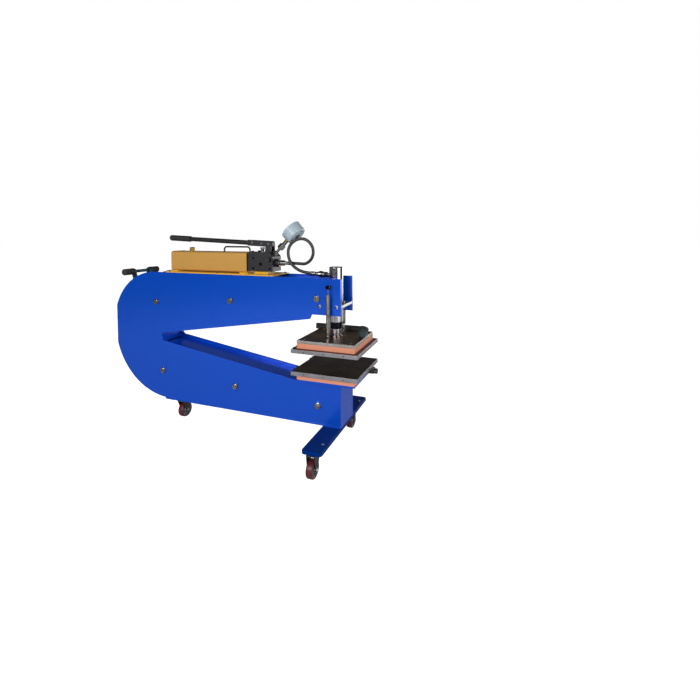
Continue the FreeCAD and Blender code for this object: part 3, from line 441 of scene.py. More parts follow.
@dataclass(frozen=True)
class FibreBoard(Finish):
    """Pressed heat-insulating board: layered fibres that show on its sawn edges."""

    streak: tuple[float, float, float, float] = (0.3, 0.1, 0.05, 1)

    def dress(self, tree: Tree, shader: bpy.types.Node) -> None:
        """Layers along the board, flecks of fibre and a dry, rough face."""
        layers = Effects.place(tree, Effect.GRAIN, Stretch=(1.0, 1.0, 26.0), Scale=26.0, Contrast=0.7)
        flecks = Effects.place(tree, Effect.MOTTLE, Color=self.color, Shade=self.streak, Scale=38.0,
                               Amount=0.45)
        tree.feed(shader.inputs["Base Color"],
                  tree.mix(tree.math("MULTIPLY", layers.outputs["Mask"], 0.28), flecks.outputs["Color"],
                           self.streak))
        self.relief(tree, shader, layers.outputs["Height"], 0.5 * MM, 0.4, soften=0.6 * MM)


@dataclass(frozen=True)
class Glass(Finish):
    """Clear glass with a few smears."""

    roughness: float = 0.03

    def dress(self, tree: Tree, shader: bpy.types.Node) -> None:
        """Transmission, with smears in the roughness."""
        shader.inputs["Transmission Weight"].default_value = 1.0
        shader.inputs["IOR"].default_value = 1.1
        smear = Effects.place(tree, Effect.MOTTLE, Scale=60.0)
        tree.feed(shader.inputs["Roughness"], tree.span(smear.outputs["Mask"], 0.3, 1.0, 0.01, 0.08))


@dataclass(frozen=True)
class PaleFloor(Finish):
    """A pale paper floor that glows evenly to the eye, as one lit from behind does."""

    glow: float = 0.8

    def dress(self, tree: Tree, shader: bpy.types.Node) -> None:
        """A glow that the object itself doesn't pick up, and faint paper grain."""
        seen = tree.node("LightPath").outputs["Is Camera Ray"]
        tree.feed(shader.inputs["Emission Color"], tree.mix(seen, (0.0, 0.0, 0.0, 1.0), (1.0, 1.0, 1.0, 1.0)))
        shader.inputs["Emission Strength"].default_value = self.glow
        grain = Effects.place(tree, Effect.GRAIN, Scale=300.0, Contrast=0.4)
        self.relief(tree, shader, grain.outputs["Height"], 0.1 * MM, 0.1)


BLUE = Paint("blue_paint", srgb(0, 74, 194), 0.34, slot="blue_paint", gloss=0.05, glint=(0.0, 0.3, 1.0, 1.0),
             shade=srgb(0, 62, 176), bare=srgb(30, 70, 140), wear=0.3, dust=0.006, coat=0.0)
# Painted shade: the foot beam's blue is a darker copy of the frame blue, standing in for the shade that falls
# on its top under the platens; only its edge wear is real.
SHADED_BEAM_BLUE = Paint("shade_darkened_blue_paint", srgb(0, 48, 124), 0.36, slot="blue_paint", gloss=0.05,
                  glint=(0.0, 0.3, 1.0, 1.0), shade=srgb(0, 38, 100), bare=srgb(24, 56, 110), wear=0.4,
                  dust=0.01, coat=0.0)
TANK_AMBER = Paint("amber_paint", srgb(248, 190, 106), 0.4, slot="amber_paint", gloss=0.3,
                   shade=srgb(222, 164, 84), bare=srgb(190, 150, 96), wear=0.2, dust=0.04, coat=0.05)
PLATE_YELLOW = Paint("pump_plate_yellow", srgb(236, 182, 30), 0.4, slot="amber_paint",
                     shade=srgb(206, 150, 28), bare=srgb(110, 90, 50), wear=0.5, dust=0.12)
ZINC = Metal("zinc_plating", srgb(158, 158, 156), 0.2, slot="zinc_bolts", stain=srgb(84, 78, 68),
             stained=0.6, stain_scale=60.0, marks=700.0)
BLACK_STEEL = Paint("black_steel", srgb(0, 0, 4), 0.24, slot="black_steel", gloss=0.03, shade=srgb(4, 4, 9),
                    bare=srgb(70, 68, 68), wear=0.3, dust=0.005, coat=0.0)
BARE_STEEL = Metal("bare_steel", srgb(150, 150, 148), 0.34, slot="bare_steel", stain=srgb(104, 92, 76),
                   stained=0.5, stretch=(1.0, 12.0, 1.0), marks=240.0)
# The top colours of both platen finishes are painted reflection on their upper faces.
ALUMINIUM = ReflectionTintedPlate("heated_aluminium", srgb(172, 170, 174), 0.34, slot="platen_aluminium",
                        stain=srgb(128, 124, 126), stained=0.5, stretch=(1.0, 1.0, 14.0), marks=160.0,
                        top=srgb(92, 74, 48), reflection_patch=srgb(52, 42, 34))
BACKING = ReflectionTintedPlate("backing_aluminium", srgb(186, 182, 178), 0.3, slot="platen_aluminium",
                      stain=srgb(140, 132, 124), stained=0.5, stretch=(1.0, 1.0, 14.0), marks=160.0,
                      top=srgb(140, 96, 22), reflection_patch=srgb(74, 50, 18))
INSULATION = FibreBoard("insulation_board", srgb(232, 130, 98), 0.82, slot="insulation_board", gloss=0.25,
                        streak=srgb(186, 78, 54))
CHROME = Metal("hard_chrome", srgb(196, 193, 202), 0.15, slot="chrome", stain=srgb(150, 148, 156),
               stained=0.5, stretch=(14.0, 14.0, 0.6), marks=120.0, depth=0.03)
GLAND_BLACK = Metal("oiled_black_gland", srgb(34, 34, 40), 0.16, slot="black_steel", stain=srgb(24, 22, 22),
                    stained=0.5, stretch=(1.0, 1.0, 20.0), marks=90.0)
SPRING_STEEL = Metal("spring_wire", srgb(176, 174, 164), 0.34, slot="spring_steel", stain=srgb(88, 80, 58),
                     stained=0.5, stain_scale=30.0)
BRASS = Metal("aged_brass", srgb(176, 146, 66), 0.3, slot="brass", stain=srgb(96, 86, 36), stained=0.6,
              stain_scale=70.0)
BLACK_PLASTIC = Polymer("black_plastic", srgb(15, 16, 19), 0.38, slot="black_plastic", gloss=0.3,
                        scuff=srgb(44, 44, 48))
CONNECTOR_GREY = Polymer("connector_housing", srgb(44, 62, 70), 0.4, slot="black_plastic", gloss=0.3,
                         scuff=srgb(74, 90, 96))
BLACK_RUBBER = Polymer("black_rubber", srgb(6, 7, 15), 0.5, slot="black_rubber", gloss=0.14,
                       scuff=srgb(22, 23, 32), grain=600.0, dust=0.02)
HOSE_RUBBER = Polymer("hose_rubber", srgb(12, 12, 15), 0.16, slot="hose_rubber", gloss=0.9,
                      scuff=srgb(36, 36, 40), grain=700.0, dust=0.02)
CASE_GREY = Paint("gauge_case_enamel", srgb(174, 189, 198), 0.36, slot="gauge_grey", gloss=0.3,
                  shade=srgb(158, 173, 182), bare=srgb(96, 100, 104), wear=0.3, dust=0.04, coat=0.1)
TEAL = Paint("handle_teal", srgb(10, 34, 46), 0.36, gloss=0.3, slot="handle_teal", shade=srgb(10, 40, 56),
             bare=srgb(90, 96, 98), wear=0.4, dust=0.1)
MAROON = Polymer("maroon_tread", srgb(52, 14, 24), 0.4, slot="maroon_tread", gloss=0.3,
                 scuff=srgb(30, 16, 20), scuffed=0.7, dust=0.06)
HUB_GREY = Metal("cast_hub", srgb(150, 150, 150), 0.42, slot="hub_grey", stain=srgb(92, 88, 84), stained=0.55,
                 stain_scale=50.0, marks=420.0, depth=0.2)
FORK_STEEL = Metal("caster_fork_steel", srgb(88, 88, 88), 0.38, slot="black_steel", stain=srgb(48, 46, 44),
                   stained=0.7, stain_scale=34.0, marks=500.0)
DIAL_WHITE = Paint("dial_white", srgb(238, 238, 232), 0.5, slot="gauge_grey", shade=srgb(226, 226, 216),
                   wear=0.0, dust=0.0, coat=0.0)
INK = Paint("dial_ink", srgb(24, 24, 26), 0.5, slot="black_plastic", shade=srgb(34, 34, 36), wear=0.0,
            dust=0.0, coat=0.0)
NEEDLE_RED = Paint("needle_red", srgb(196, 34, 28), 0.4, slot="black_plastic", shade=srgb(168, 28, 24),
                   wear=0.1, dust=0.0)
LENS = Glass("gauge_glass", srgb(250, 252, 252), 0.03, slot="gauge_grey")

# ---------------------------------------------------------------- shapes


def turned_to(axis: Vector) -> Matrix:
    """A rotation that takes +Z to axis."""
    return axis.normalized().to_track_quat("Z", "Y").to_matrix().to_4x4()


def linked(name: str, data: bpy.types.ID) -> bpy.types.Object:
    """A new object in the scene that holds data."""
    made = bpy.data.objects.new(name, data)
    bpy.context.scene.collection.objects.link(made)
    return made


def ridges(starts: list[float], radius: float, flat: float, flank: float, width: float) -> Profile:
    """The profile of equal rings or grooves round a turned piece.

    Args:
        starts: where each ring begins along the axis.
        radius: the radius between the rings.
        flat: the radius on a ring's flat.
        flank: how long each of its sloping sides is.
        width: the ring's whole length.

    Returns:
        Four pairs for each ring.
    """
    profile = []
    for at in starts:
        profile += [(at, radius), (at + flank, flat), (at + width - flank, flat), (at + width, radius)]
    return profile


class Shape:
    """A mesh that is put together from turned pieces and rods."""

    def __init__(self) -> None:
        """Start with nothing."""
        self.mesh = bmesh.new()

    def turn(self, profile: Profile, origin: Vector, axis: Vector = UP, steps: int = 40,
             closed: bool = False, flute: float = 0.0) -> "Shape":
        """Turn a profile about an axis.

        Args:
            profile: (distance along the axis, radius) pairs, in metres.
            origin: where distance 0 is.
            axis: the axis's direction.
            steps: corners round the axis; 6 makes a hexagon.
            closed: join the last pair to the first, for a ring.
            flute: how much smaller every other corner's radius is.

        Returns:
            This shape.
        """
        place = Matrix.Translation(origin) @ turned_to(axis)
        rings = []
        for distance, radius in profile:
            ring = []
            for step in range(steps):
                angle = TAU * step / steps
                reach = max(radius - (flute if step % 2 else 0.0), 0.0)
                point = Vector((reach * math.cos(angle), reach * math.sin(angle), distance))
                ring.append(self.mesh.verts.new(place @ point))
            rings.append(ring)
        return self.skin(rings, closed)

    def skin(self, rings: list[list[bmesh.types.BMVert]], closed: bool = False) -> "Shape":
        """Join rings of corners with faces.

        Args:
            rings: lists of equally many corners.
            closed: join the last ring to the first; otherwise both ends are capped.

        Returns:
            This shape.
        """
        pairs = list(zip(rings, rings[1:])) + ([(rings[-1], rings[0])] if closed else [])
        for first, second in pairs:
            for step in range(len(first)):
                after = (step + 1) % len(first)
                self.mesh.faces.new((first[step], first[after], second[after], second[step]))
        if not closed:
            self.mesh.faces.new(rings[0][::-1])
            self.mesh.faces.new(rings[-1])
        return self

    def rod(self, points: list[Vector], radius: float, steps: int = 10, closed: bool = False) -> "Shape":
        """Add a round rod through points.

        Args:
            points: the centre line.
            radius: the rod's radius.
            steps: corners round it.
            closed: join the end to the start.

        Returns:
            This shape.
        """
        count = len(points)
        rings, side = [], None
        for index, point in enumerate(points):
            before = points[index - 1] if index or closed else point
            after = points[(index + 1) % count] if index + 1 < count or closed else point
            way = (after - before).normalized()
            side = side or way.orthogonal()
            side = (side - way * side.dot(way)).normalized()
            other = way.cross(side)
            ring = []
            for step in range(steps):
                angle = TAU * step / steps
                out = side * math.cos(angle) + other * math.sin(angle)
                ring.append(self.mesh.verts.new(point + out * radius))
            rings.append(ring)
        return self.skin(rings, closed)

    def nut(self, origin: Vector, axis: Vector, across: float, height: float) -> "Shape":
        """Add a chamfered hexagon; across is between its flats."""
        corner = across / math.sqrt(3)
        edge = 0.12 * height
        profile = [(0, 0.93 * corner), (edge, corner), (height - edge, corner), (height, 0.9 * corner)]
        return self.turn(profile, origin, axis, steps=6)

    def washer(self, origin: Vector, axis: Vector, radius: float, hole: float, height: float) -> "Shape":
        """Add a flat ring with eased edges."""
        ease = 0.2 * height
        return self.turn([(0, hole), (0, radius - ease), (ease, radius), (height - ease, radius),
                          (height, radius - ease), (height, hole)], origin, axis, closed=True)

    def socket_screw(self, origin: Vector, axis: Vector, radius: float, height: float) -> "Shape":
        """Add a round screw head with a hexagon socket in it."""
        hole = 0.5 * radius
        profile = [(0, 0.98 * radius), (0.75 * height, radius), (height, 0.86 * radius), (height, hole),
                   (0.4 * height, hole), (0.4 * height, 0.02 * radius)]
        return self.turn(profile, origin, axis, steps=24)

    def piece(self, name: str, sharp: float = 32.0) -> bpy.types.Object:
        """The finished object; edges sharper than sharp degrees stay crisp."""
        bmesh.ops.recalc_face_normals(self.mesh, faces=self.mesh.faces)
        data = bpy.data.meshes.new(name)
        self.mesh.to_mesh(data)
        self.mesh.free()
        data.polygons.foreach_set("use_smooth", [True] * len(data.polygons))
        data.set_sharp_from_angle(angle=math.radians(sharp))
        return linked(name, data)


# ---------------------------------------------------------------- the frame's nodes


class Press:
    """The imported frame, and how pieces are put on it."""

    def __init__(self, frame: dict) -> None:
        """Keep the loaded frame."""
        self.nodes = frame["nodes"]
        self.count = 0

    def welded(self, node: str) -> bmesh.types.BMesh:
        """A copy of a CAD node's mesh with its split corners joined again."""
        mesh = bmesh.new()
        mesh.from_mesh(self.nodes[node].data)
        bmesh.ops.remove_doubles(mesh, verts=mesh.verts, dist=2e-6)
        return mesh

    def solids(self, node: str) -> list[tuple[Vector, Vector]]:
        """The box of each separate solid in a CAD node, in order along X, then Y."""
        mesh = self.welded(node)
        boxes, seen = [], set()
        for start in mesh.verts:
            if start in seen:
                continue
            seen.add(start)
            group, waiting = [], [start]
            while waiting:
                vert = waiting.pop()
                group.append(vert.co.copy())
                near = [e.other_vert(vert) for e in vert.link_edges]
                waiting += [v for v in near if v not in seen]
                seen.update(near)
            boxes.append((Vector(map(min, zip(*group))), Vector(map(max, zip(*group)))))
        mesh.free()
        return sorted(boxes, key=lambda box: (round(box[0].x, 4), round(box[0].y, 4)))

    def centre(self, node: str) -> Vector:
        """The middle of a CAD node's box."""
        low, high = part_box(node)
        return (low + high) / 2

    def install(self, piece: bpy.types.Object, finish: Finish, body: str | None = None,
                replaces: tuple[str, ...] = ()) -> bpy.types.Object:
        """Finish a piece and put it on a body.

        Args:
            piece: the object.
            finish: what it is finished in.
            body: the CAD body that it rides on; None leaves it on no body.
            replaces: the CAD nodes that it stands for.

        Returns:
            The piece.
        """
        piece.data.materials.clear()
        piece.data.materials.append(finish.material())
        if body:
            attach(piece, body)
        if replaces:
            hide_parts(*replaces)
        self.count += 1
        LOG.info("%3d %s in %s on %s", self.count, piece.name, finish.name, body)
        return piece

    def eased(self, node: str, finish: Finish, ease: float = 0.8 * MM) -> bpy.types.Object:
        """Stand a copy of a CAD node with really rounded edges in its place.

        Args:
            node: the CAD node.
            finish: what it is finished in.
            ease: how wide its edges' rounding is.

        Returns:
            The copy.
        """
        mesh = self.welded(node)
        bmesh.ops.dissolve_limit(mesh, angle_limit=math.radians(0.4), verts=mesh.verts, edges=mesh.edges)
        data = bpy.data.meshes.new(node + "_eased")
        mesh.to_mesh(data)
        mesh.free()
        data.polygons.foreach_set("use_smooth", [True] * len(data.polygons))
        copy = linked(node + "_eased", data)
        bevel = copy.modifiers.new("rounding", "BEVEL")
        bevel.limit_method, bevel.angle_limit = "ANGLE", math.radians(34)
        bevel.width, bevel.segments = ease, 2
        copy.modifiers.new("crisp_flats", "WEIGHTED_NORMAL").weight = 90
        return self.install(copy, finish, self.nodes[node]["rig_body"], (node,))


# ---------------------------------------------------------------- sub-assemblies


@dataclass
class Carcass:
    """The two side plates, the plates between them, the ties and the foot beam."""

    press: Press
    edge: float = 1.1 * MM
    washer_height: float = 2 * MM
    washer_radius: float = 14.0 * MM
    weld_radius: float = 2.4 * MM
    plate_inside: float = 68 * MM
    plate_outside: float = 78 * MM
    plates: tuple[str, ...] = ("side_plate_near", "side_plate_far", "upper_arm_cover", "lower_arm_cover",
                               "throat_cover", "spine_cover", "bottom_plate", "top_cover", "foot_beam",
                               "caster_seats")

    def build(self) -> None:
        """Build and dress the carcass."""
        for node in self.plates:
            # The foot beam gets the darker blue, which is painted shade.
            self.press.eased(node, SHADED_BEAM_BLUE if node == "foot_beam" else BLUE, self.edge)
        self.ties()
        self.screws()
        self.spring_bolts()
        self.welds()

    def ties(self) -> None:
        """Tie rods with spacer tubes, washers and nuts."""
        shape, spacers = Shape(), Shape()
        for low, high in self.press.solids("tie_bolts"):
            middle, size = (low + high) / 2, high - low
            radius = size.x / 2
            if size.y > 170 * MM:  # a rod
                chamfer = 1.2 * MM
                shape.turn([(0, radius - chamfer), (chamfer, radius), (size.y - chamfer, radius),
                            (size.y, radius - chamfer)], Vector((middle.x, low.y, middle.z)), ACROSS, 24)
            elif size.y > 100 * MM:  # a spacer tube
                spacers.turn([(0, radius - 6 * MM), (0, radius), (size.y, radius), (size.y, radius - 6 * MM)],
                             Vector((middle.x, low.y, middle.z)), ACROSS, 28, closed=True)
            else:  # a nut
                side = math.copysign(1, middle.y)
                face = Vector((middle.x, min(abs(low.y), abs(high.y)) * side, middle.z))
                way = ACROSS * side
                shape.washer(face, way, self.washer_radius, 8 * MM, self.washer_height)
                shape.nut(face + way * self.washer_height, way, size.z, size.y - self.washer_height)
        self.press.install(shape.piece("tie_rods_and_nuts"), ZINC, "frame", ("tie_bolts",))
        self.press.install(spacers.piece("tie_spacer_tubes"), BLUE, "frame")

    def screws(self) -> None:
        """Socket screws that hold the cylinder's mounting plate and the front casters' seats."""
        shape = Shape()
        for low, high in self.press.solids("frame_screws"):
            middle, size = (low + high) / 2, high - low
            if size.z < size.x:  # upright, on the beam
                shape.socket_screw(Vector((middle.x, middle.y, low.z)), UP, size.x / 2, size.z)
            else:
                side = math.copysign(1, middle.y)
                face = self.plate_outside * side
                shape.socket_screw(Vector((middle.x, face, middle.z)), ACROSS * side, size.z / 2, 5 * MM)
        self.press.install(shape.piece("frame_socket_screws"), ZINC, "frame", ("frame_screws",))

    def spring_bolts(self) -> None:
        """Shouldered bolts that the return springs hang from, with a nut against each side plate."""
        shape = Shape()
        for low, high in self.press.solids("spring_bolts"):
            middle = (low + high) / 2
            side = math.copysign(1, middle.y)
            outer = max(abs(low.y), abs(high.y))
            start = Vector((middle.x, side * self.plate_inside, middle.z))
            reach = outer - self.plate_inside
            shape.turn([(0, 5 * MM), (reach - 5 * MM, 5 * MM), (reach - 5 * MM, 8.6 * MM),
                        (reach - 1 * MM, 9 * MM), (reach, 7.5 * MM)], start, ACROSS * side, 28)
            shape.nut(Vector((middle.x, side * self.plate_outside, middle.z)), ACROSS * side, 16 * MM, 5 * MM)
        self.press.install(shape.piece("spring_hanger_bolts"), GLAND_BLACK, "frame", ("spring_bolts",))

    def welds(self) -> None:
        """Rippled weld beads along the foot of both side plates on the foot beam."""
        shape = Shape()
        low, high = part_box("foot_beam")
        top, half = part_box("bottom_plate")[0].z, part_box("bottom_plate")[1].y
        ripple = 4 * MM
        for side in (-1, 1):
            start, end = low.x + 6 * MM, high.x - 6 * MM
            count = int((end - start) / ripple)
            for step in range(count):
                bead = Vector((start + ripple * step, side * half, top))
                shape.turn([(0, 0.6 * self.weld_radius), (0.3 * ripple, self.weld_radius),
                            (ripple, 0.8 * self.weld_radius)], bead, RIGHT, 10)
        self.press.install(shape.piece("foot_weld_beads"), BLUE, "frame")


@dataclass
class Caster:
    """One swivel caster: fork, tread, hub with its bearing, and axle nuts."""

    press: Press
    place: str
    rubber: float = 8 * MM

    def build(self) -> None:
        """Build and dress the caster."""
        self.press.eased("caster_fork_" + self.place, FORK_STEEL, 0.8 * MM)
        low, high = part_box("caster_tread_" + self.place)
        middle = (low + high) / 2
        start = Vector((low.x, middle.y, middle.z))
        width, outer = high.x - low.x, (high.z - low.z) / 2
        rim = outer - self.rubber
        crown = [(0, outer - 4 * MM), (1.2 * MM, outer - 1.6 * MM), (4 * MM, outer - 0.3 * MM),
                 (8 * MM, outer)]
        profile = [(0, rim)] + crown + [(width - d, r) for d, r in crown[::-1]] + [(width, rim)]
        tread = Shape().turn(profile, start, RIGHT, 64, closed=True)
        self.press.install(tread.piece("tread_" + self.place), MAROON, "wheel_" + self.place,
                           ("caster_tread_" + self.place,))
        bore, boss = 5.4 * MM, 11 * MM
        half = [(0, bore), (0, boss - 1 * MM), (1 * MM, boss), (7 * MM, boss + 1.5 * MM),
                (8 * MM, rim - 5 * MM), (2 * MM, rim - 2.5 * MM), (0, rim - 1.5 * MM), (0, rim)]
        hub = Shape().turn(half + [(width - d, r) for d, r in half[::-1]], start, RIGHT, 48, closed=True)
        for side, face in ((-1, start), (1, start + RIGHT * width)):
            inward = RIGHT * -side
            hub.washer(face - inward * 0.4 * MM, inward, 9 * MM, bore, 1.5 * MM)
            for spoke in range(5):
                angle = TAU * spoke / 5
                out = Vector((0, math.cos(angle), math.sin(angle)))
                hub.rod([face + inward * 5 * MM + out * (boss + 0.5 * MM),
                         face + inward * 5 * MM + out * (rim - 3 * MM)], 2.2 * MM, 8)
        self.press.install(hub.piece("hub_" + self.place), HUB_GREY, "wheel_" + self.place,
                           ("caster_hub_" + self.place,))
        nuts = Shape()
        axle_half = width / 2 + 5 * MM
        for side in (-1, 1):
            leg = Vector((middle.x + side * axle_half, middle.y, middle.z))
            nuts.washer(leg, RIGHT * side, 8 * MM, 4.5 * MM, 1.2 * MM)
            nuts.nut(leg + RIGHT * side * 1.2 * MM, RIGHT * side, 13 * MM, 4.2 * MM)
        crown_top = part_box("caster_fork_" + self.place)[1].z
        swivel = self.swivel()
        nuts.turn([(-1.2 * MM, 20 * MM), (0, 22.6 * MM), (1 * MM, 22.6 * MM), (1 * MM, 20 * MM)],
                  Vector((swivel.x, swivel.y, crown_top)), UP, 40)
        self.press.install(nuts.piece("axle_nuts_" + self.place), ZINC, "fork_" + self.place)

    def swivel(self) -> Vector:
        """Where the caster's swivel axis stands."""
        heads = self.press.solids("caster_heads")
        wheel = self.press.centre("caster_hub_" + self.place)
        middles = [(low + high) / 2 for low, high in heads]
        return min(middles, key=lambda m: (m.xy - wheel.xy).length)


@dataclass
class CasterHeads:
    """The fixed top plates of the casters with their bolts."""

    press: Press
    inset: float = 8 * MM

    def build(self) -> None:
        """Build and dress the top plates."""
        self.press.eased("caster_heads", FORK_STEEL, 0.6 * MM)
        bolts = Shape()
        for low, high in self.press.solids("caster_heads"):
            for x in (low.x + self.inset, high.x - self.inset):
                for y in (low.y + self.inset, high.y - self.inset):
                    under = Vector((x, y, high.z - 4 * MM))
                    bolts.washer(under, -UP, 6.5 * MM, 3 * MM, 1 * MM)
                    bolts.nut(under - UP * 1 * MM, -UP, 10 * MM, 3.4 * MM)
        self.press.install(bolts.piece("caster_plate_bolts"), ZINC, "frame")


@dataclass
class Platens:
    """The two heated platens with their insulation, base and backing plates."""

    press: Press
    screw_radius: float = 2.6 * MM

    def build(self) -> None:
        """Build and dress both stacks."""
        self.press.eased("lower_base_plate", BLUE, 0.8 * MM)
        for node in ("lower_insulation", "upper_insulation"):
            self.press.eased(node, INSULATION, 0.7 * MM)
        for node in ("lower_platen", "upper_platen"):
            self.press.eased(node, ALUMINIUM, 0.9 * MM)
        self.press.eased("upper_backing_plate", BACKING, 0.9 * MM)
        self.top_screws()
        self.edge_screws("lower_platen", "frame")
        self.edge_screws("upper_platen", "press_head")
        self.terminals()

    def top_screws(self) -> None:
        """Countersunk screws through the backing plate."""
        shape = Shape()
        low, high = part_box("upper_backing_plate")
        inset = 26 * MM
        for x in (low.x + inset, high.x - inset):
            for y in (low.y + inset, high.y - inset):
                shape.turn([(-0.5 * MM, 7 * MM), (0.5 * MM, 7 * MM), (0.7 * MM, 6.4 * MM),
                            (0.7 * MM, 3.4 * MM), (-0.3 * MM, 3.4 * MM), (-0.3 * MM, 0.1 * MM)],
                           Vector((x, y, high.z)), UP, 24)
        self.press.install(shape.piece("backing_plate_screws"), ZINC, "press_head")

    def edge_screws(self, node: str, body: str) -> None:
        """Set screws that hold the heating rods in a platen's edges."""
        shape = Shape()
        low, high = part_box(node)
        height = (low.z + high.z) / 2
        for share in (0.2, 0.5, 0.8):
            x = low.x + share * (high.x - low.x)
            for side, y in ((-1, low.y), (1, high.y)):
                shape.turn([(-1 * MM, self.screw_radius), (0.5 * MM, self.screw_radius),
                            (0.5 * MM, 1.3 * MM), (-0.4 * MM, 1.3 * MM), (-0.4 * MM, 0.1 * MM)],
                           Vector((x, y, height)), ACROSS * side, 18)
        self.press.install(shape.piece(node + "_set_screws"), GLAND_BLACK, body)

    def terminals(self) -> None:
        """Heater terminal blocks behind both platens."""
        for node, body in (("lower_platen", "frame"), ("upper_platen", "press_head")):
            low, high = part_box(node)
            shape = Shape()
            for y in (-96 * MM, -70 * MM, 70 * MM, 96 * MM):
                root = Vector((low.x, y, (low.z + high.z) / 2))
                shape.turn([(-1 * MM, 5 * MM), (7 * MM, 5 * MM), (8 * MM, 4 * MM), (12 * MM, 4 * MM),
                            (13 * MM, 2 * MM), (17 * MM, 2 * MM)], root, -RIGHT, 20)
            self.press.install(shape.piece(node + "_terminals"), BLACK_PLASTIC, body)


@dataclass
class Hydraulics:
    """The cylinder with its gland, lock rings, ram, ram adaptor and quick coupler."""

    press: Press
    gland_bore: float = 19.4 * MM
    thread_radius: float = 31 * MM
    port_height: float = 780 * MM
    port_rise: float = 0.055

    def build(self) -> None:
        """Build and dress the cylinder."""
        self.press.eased("cylinder_mount_plate", BARE_STEEL, 0.8 * MM)
        self.press.eased("cylinder_barrel", CHROME, 1.0 * MM)
        self.press.eased("ram", CHROME, 1.0 * MM)
        self.rings()
        self.adaptor()
        self.coupler()

    def rings(self) -> None:
        """The grooved gland nut and the two slotted lock rings."""
        boxes = sorted(self.press.solids("cylinder_rings"), key=lambda box: box[0].z)
        low, high = boxes[0]
        axis = (low + high) / 2
        radius, height = (high.x - low.x) / 2, high.z - low.z
        gland = Shape().turn([
            (0, self.gland_bore), (0, radius - 3 * MM), (2 * MM, radius - 1 * MM), (6 * MM, radius - 1 * MM),
            (7 * MM, radius - 2.4 * MM), (9 * MM, radius - 2.4 * MM), (10 * MM, radius),
            (height - 1 * MM, radius), (height, radius - 1 * MM), (height, self.gland_bore)],
            Vector((axis.x, axis.y, low.z)), UP, 56, closed=True)
        self.press.install(gland.piece("cylinder_gland"), GLAND_BLACK, "frame", ("cylinder_rings",))
        rings = Shape()
        for low, high in boxes[1:]:
            radius, height = (high.x - low.x) / 2, high.z - low.z
            rings.turn([(0, self.thread_radius), (0, radius - 0.8 * MM), (0.8 * MM, radius),
                        (height - 0.8 * MM, radius), (height, radius - 0.8 * MM),
                        (height, self.thread_radius)],
                       Vector((axis.x, axis.y, low.z)), UP, 36, closed=True, flute=0.7 * MM)
        self.press.install(rings.piece("cylinder_lock_rings"), ZINC, "frame")

    def adaptor(self) -> None:
        """The flanged adaptor between the ram and the upper backing plate."""
        low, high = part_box("ram_adaptor")
        axis = (low + high) / 2
        flange, height = (high.x - low.x) / 2, high.z - low.z
        body = flange - 3 * MM
        base = Vector((axis.x, axis.y, low.z))
        shape = Shape().turn([
            (0, flange - 0.6 * MM), (0.6 * MM, flange), (6 * MM, flange), (7 * MM, flange - 1 * MM),
            (8.5 * MM, body - 4 * MM), (14 * MM, body - 4 * MM), (15 * MM, body - 0.8 * MM), (16 * MM, body),
            (height - 1 * MM, body), (height, body - 1 * MM)], base, UP, 64)
        self.press.install(shape.piece("ram_adaptor_turned"), CHROME, "press_head", ("ram_adaptor",))
        screws = Shape()
        for turn in range(3):
            angle = TAU * turn / 3 - 0.6
            out = Vector((math.cos(angle), math.sin(angle), 0))
            screws.socket_screw(base + out * (body - 0.5 * MM) + UP * 25 * MM, out, 3 * MM, 1.2 * MM)
        self.press.install(screws.piece("adaptor_set_screws"), GLAND_BLACK, "press_head")

    def coupler(self) -> None:
        """The quick coupler in the cylinder's oil port."""
        axis = Vector((-1, 0, self.port_rise)).normalized()
        barrel = self.press.centre("cylinder_barrel")
        start = Vector((barrel.x - self.thread_radius, 0, self.port_height))
        shape = Shape().turn([(-1 * MM, 8 * MM), (8 * MM, 8 * MM)], start, axis, 28)
        shape.nut(start + axis * 8 * MM, axis, 24 * MM, 17 * MM)
        shape.turn([(25 * MM, 11.5 * MM), (30 * MM, 11.5 * MM), (31 * MM, 14 * MM), (33 * MM, 15 * MM),
                    (35 * MM, 14.2 * MM), (43 * MM, 14.2 * MM), (45 * MM, 15 * MM), (48 * MM, 15 * MM),
                    (50 * MM, 12 * MM), (55 * MM, 12 * MM), (57 * MM, 8.8 * MM), (70 * MM, 8 * MM)],
                   start, axis, 48, flute=0.35 * MM)
        self.press.install(shape.piece("cylinder_quick_coupler"), ZINC, "frame", ("cylinder_coupler",))


@dataclass
class ReturnSpring:
    """One extension spring from a side plate's bolt down to an eye on the upper platen."""

    press: Press
    side: str
    wire: float = 3.0 * MM
    pitch: float = 3.25 * MM
    per_turn: int = 16

    def build(self) -> None:
        """Wind the coil and its two hooks."""
        low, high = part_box("spring_" + self.side)
        middle = (low + high) / 2
        coil_radius = (high.x - low.x) / 2 - self.wire / 2
        bottom, top = low.z + 4 * MM, high.z - 26 * MM
        turns = (top - bottom) / self.pitch
        count = int(turns * self.per_turn)
        points = []
        for step in range(11):
            angle = -0.5 * math.pi + step * TAU * 0.7 / 10
            points.append(Vector((middle.x, middle.y + 5 * MM * math.cos(angle),
                                  bottom - 7.5 * MM + 5.5 * MM * math.sin(angle))))
        for step in range(count + 1):
            angle = TAU * step / self.per_turn
            share = min(1.0, step / (0.6 * self.per_turn), (count - step) / (0.6 * self.per_turn))
            radius = coil_radius * max(0.25, share)
            points.append(Vector((middle.x + radius * math.cos(angle), middle.y + radius * math.sin(angle),
                                  bottom + (top - bottom) * step / count)))
        points.append(Vector((middle.x, middle.y, top + 5 * MM)))
        bolt = self.press.centre("spring_bolts").z
        hook = 6.5 * MM
        for step in range(13):
            angle = step * TAU * 0.75 / 12
            points.append(Vector((middle.x + hook * math.sin(angle), middle.y,
                                  bolt - hook * math.cos(angle))))
        spring = Shape().rod(points, self.wire / 2, 8).piece("return_spring_" + self.side, 80)
        self.press.install(spring, SPRING_STEEL, None, ("spring_" + self.side,))
        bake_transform(spring)


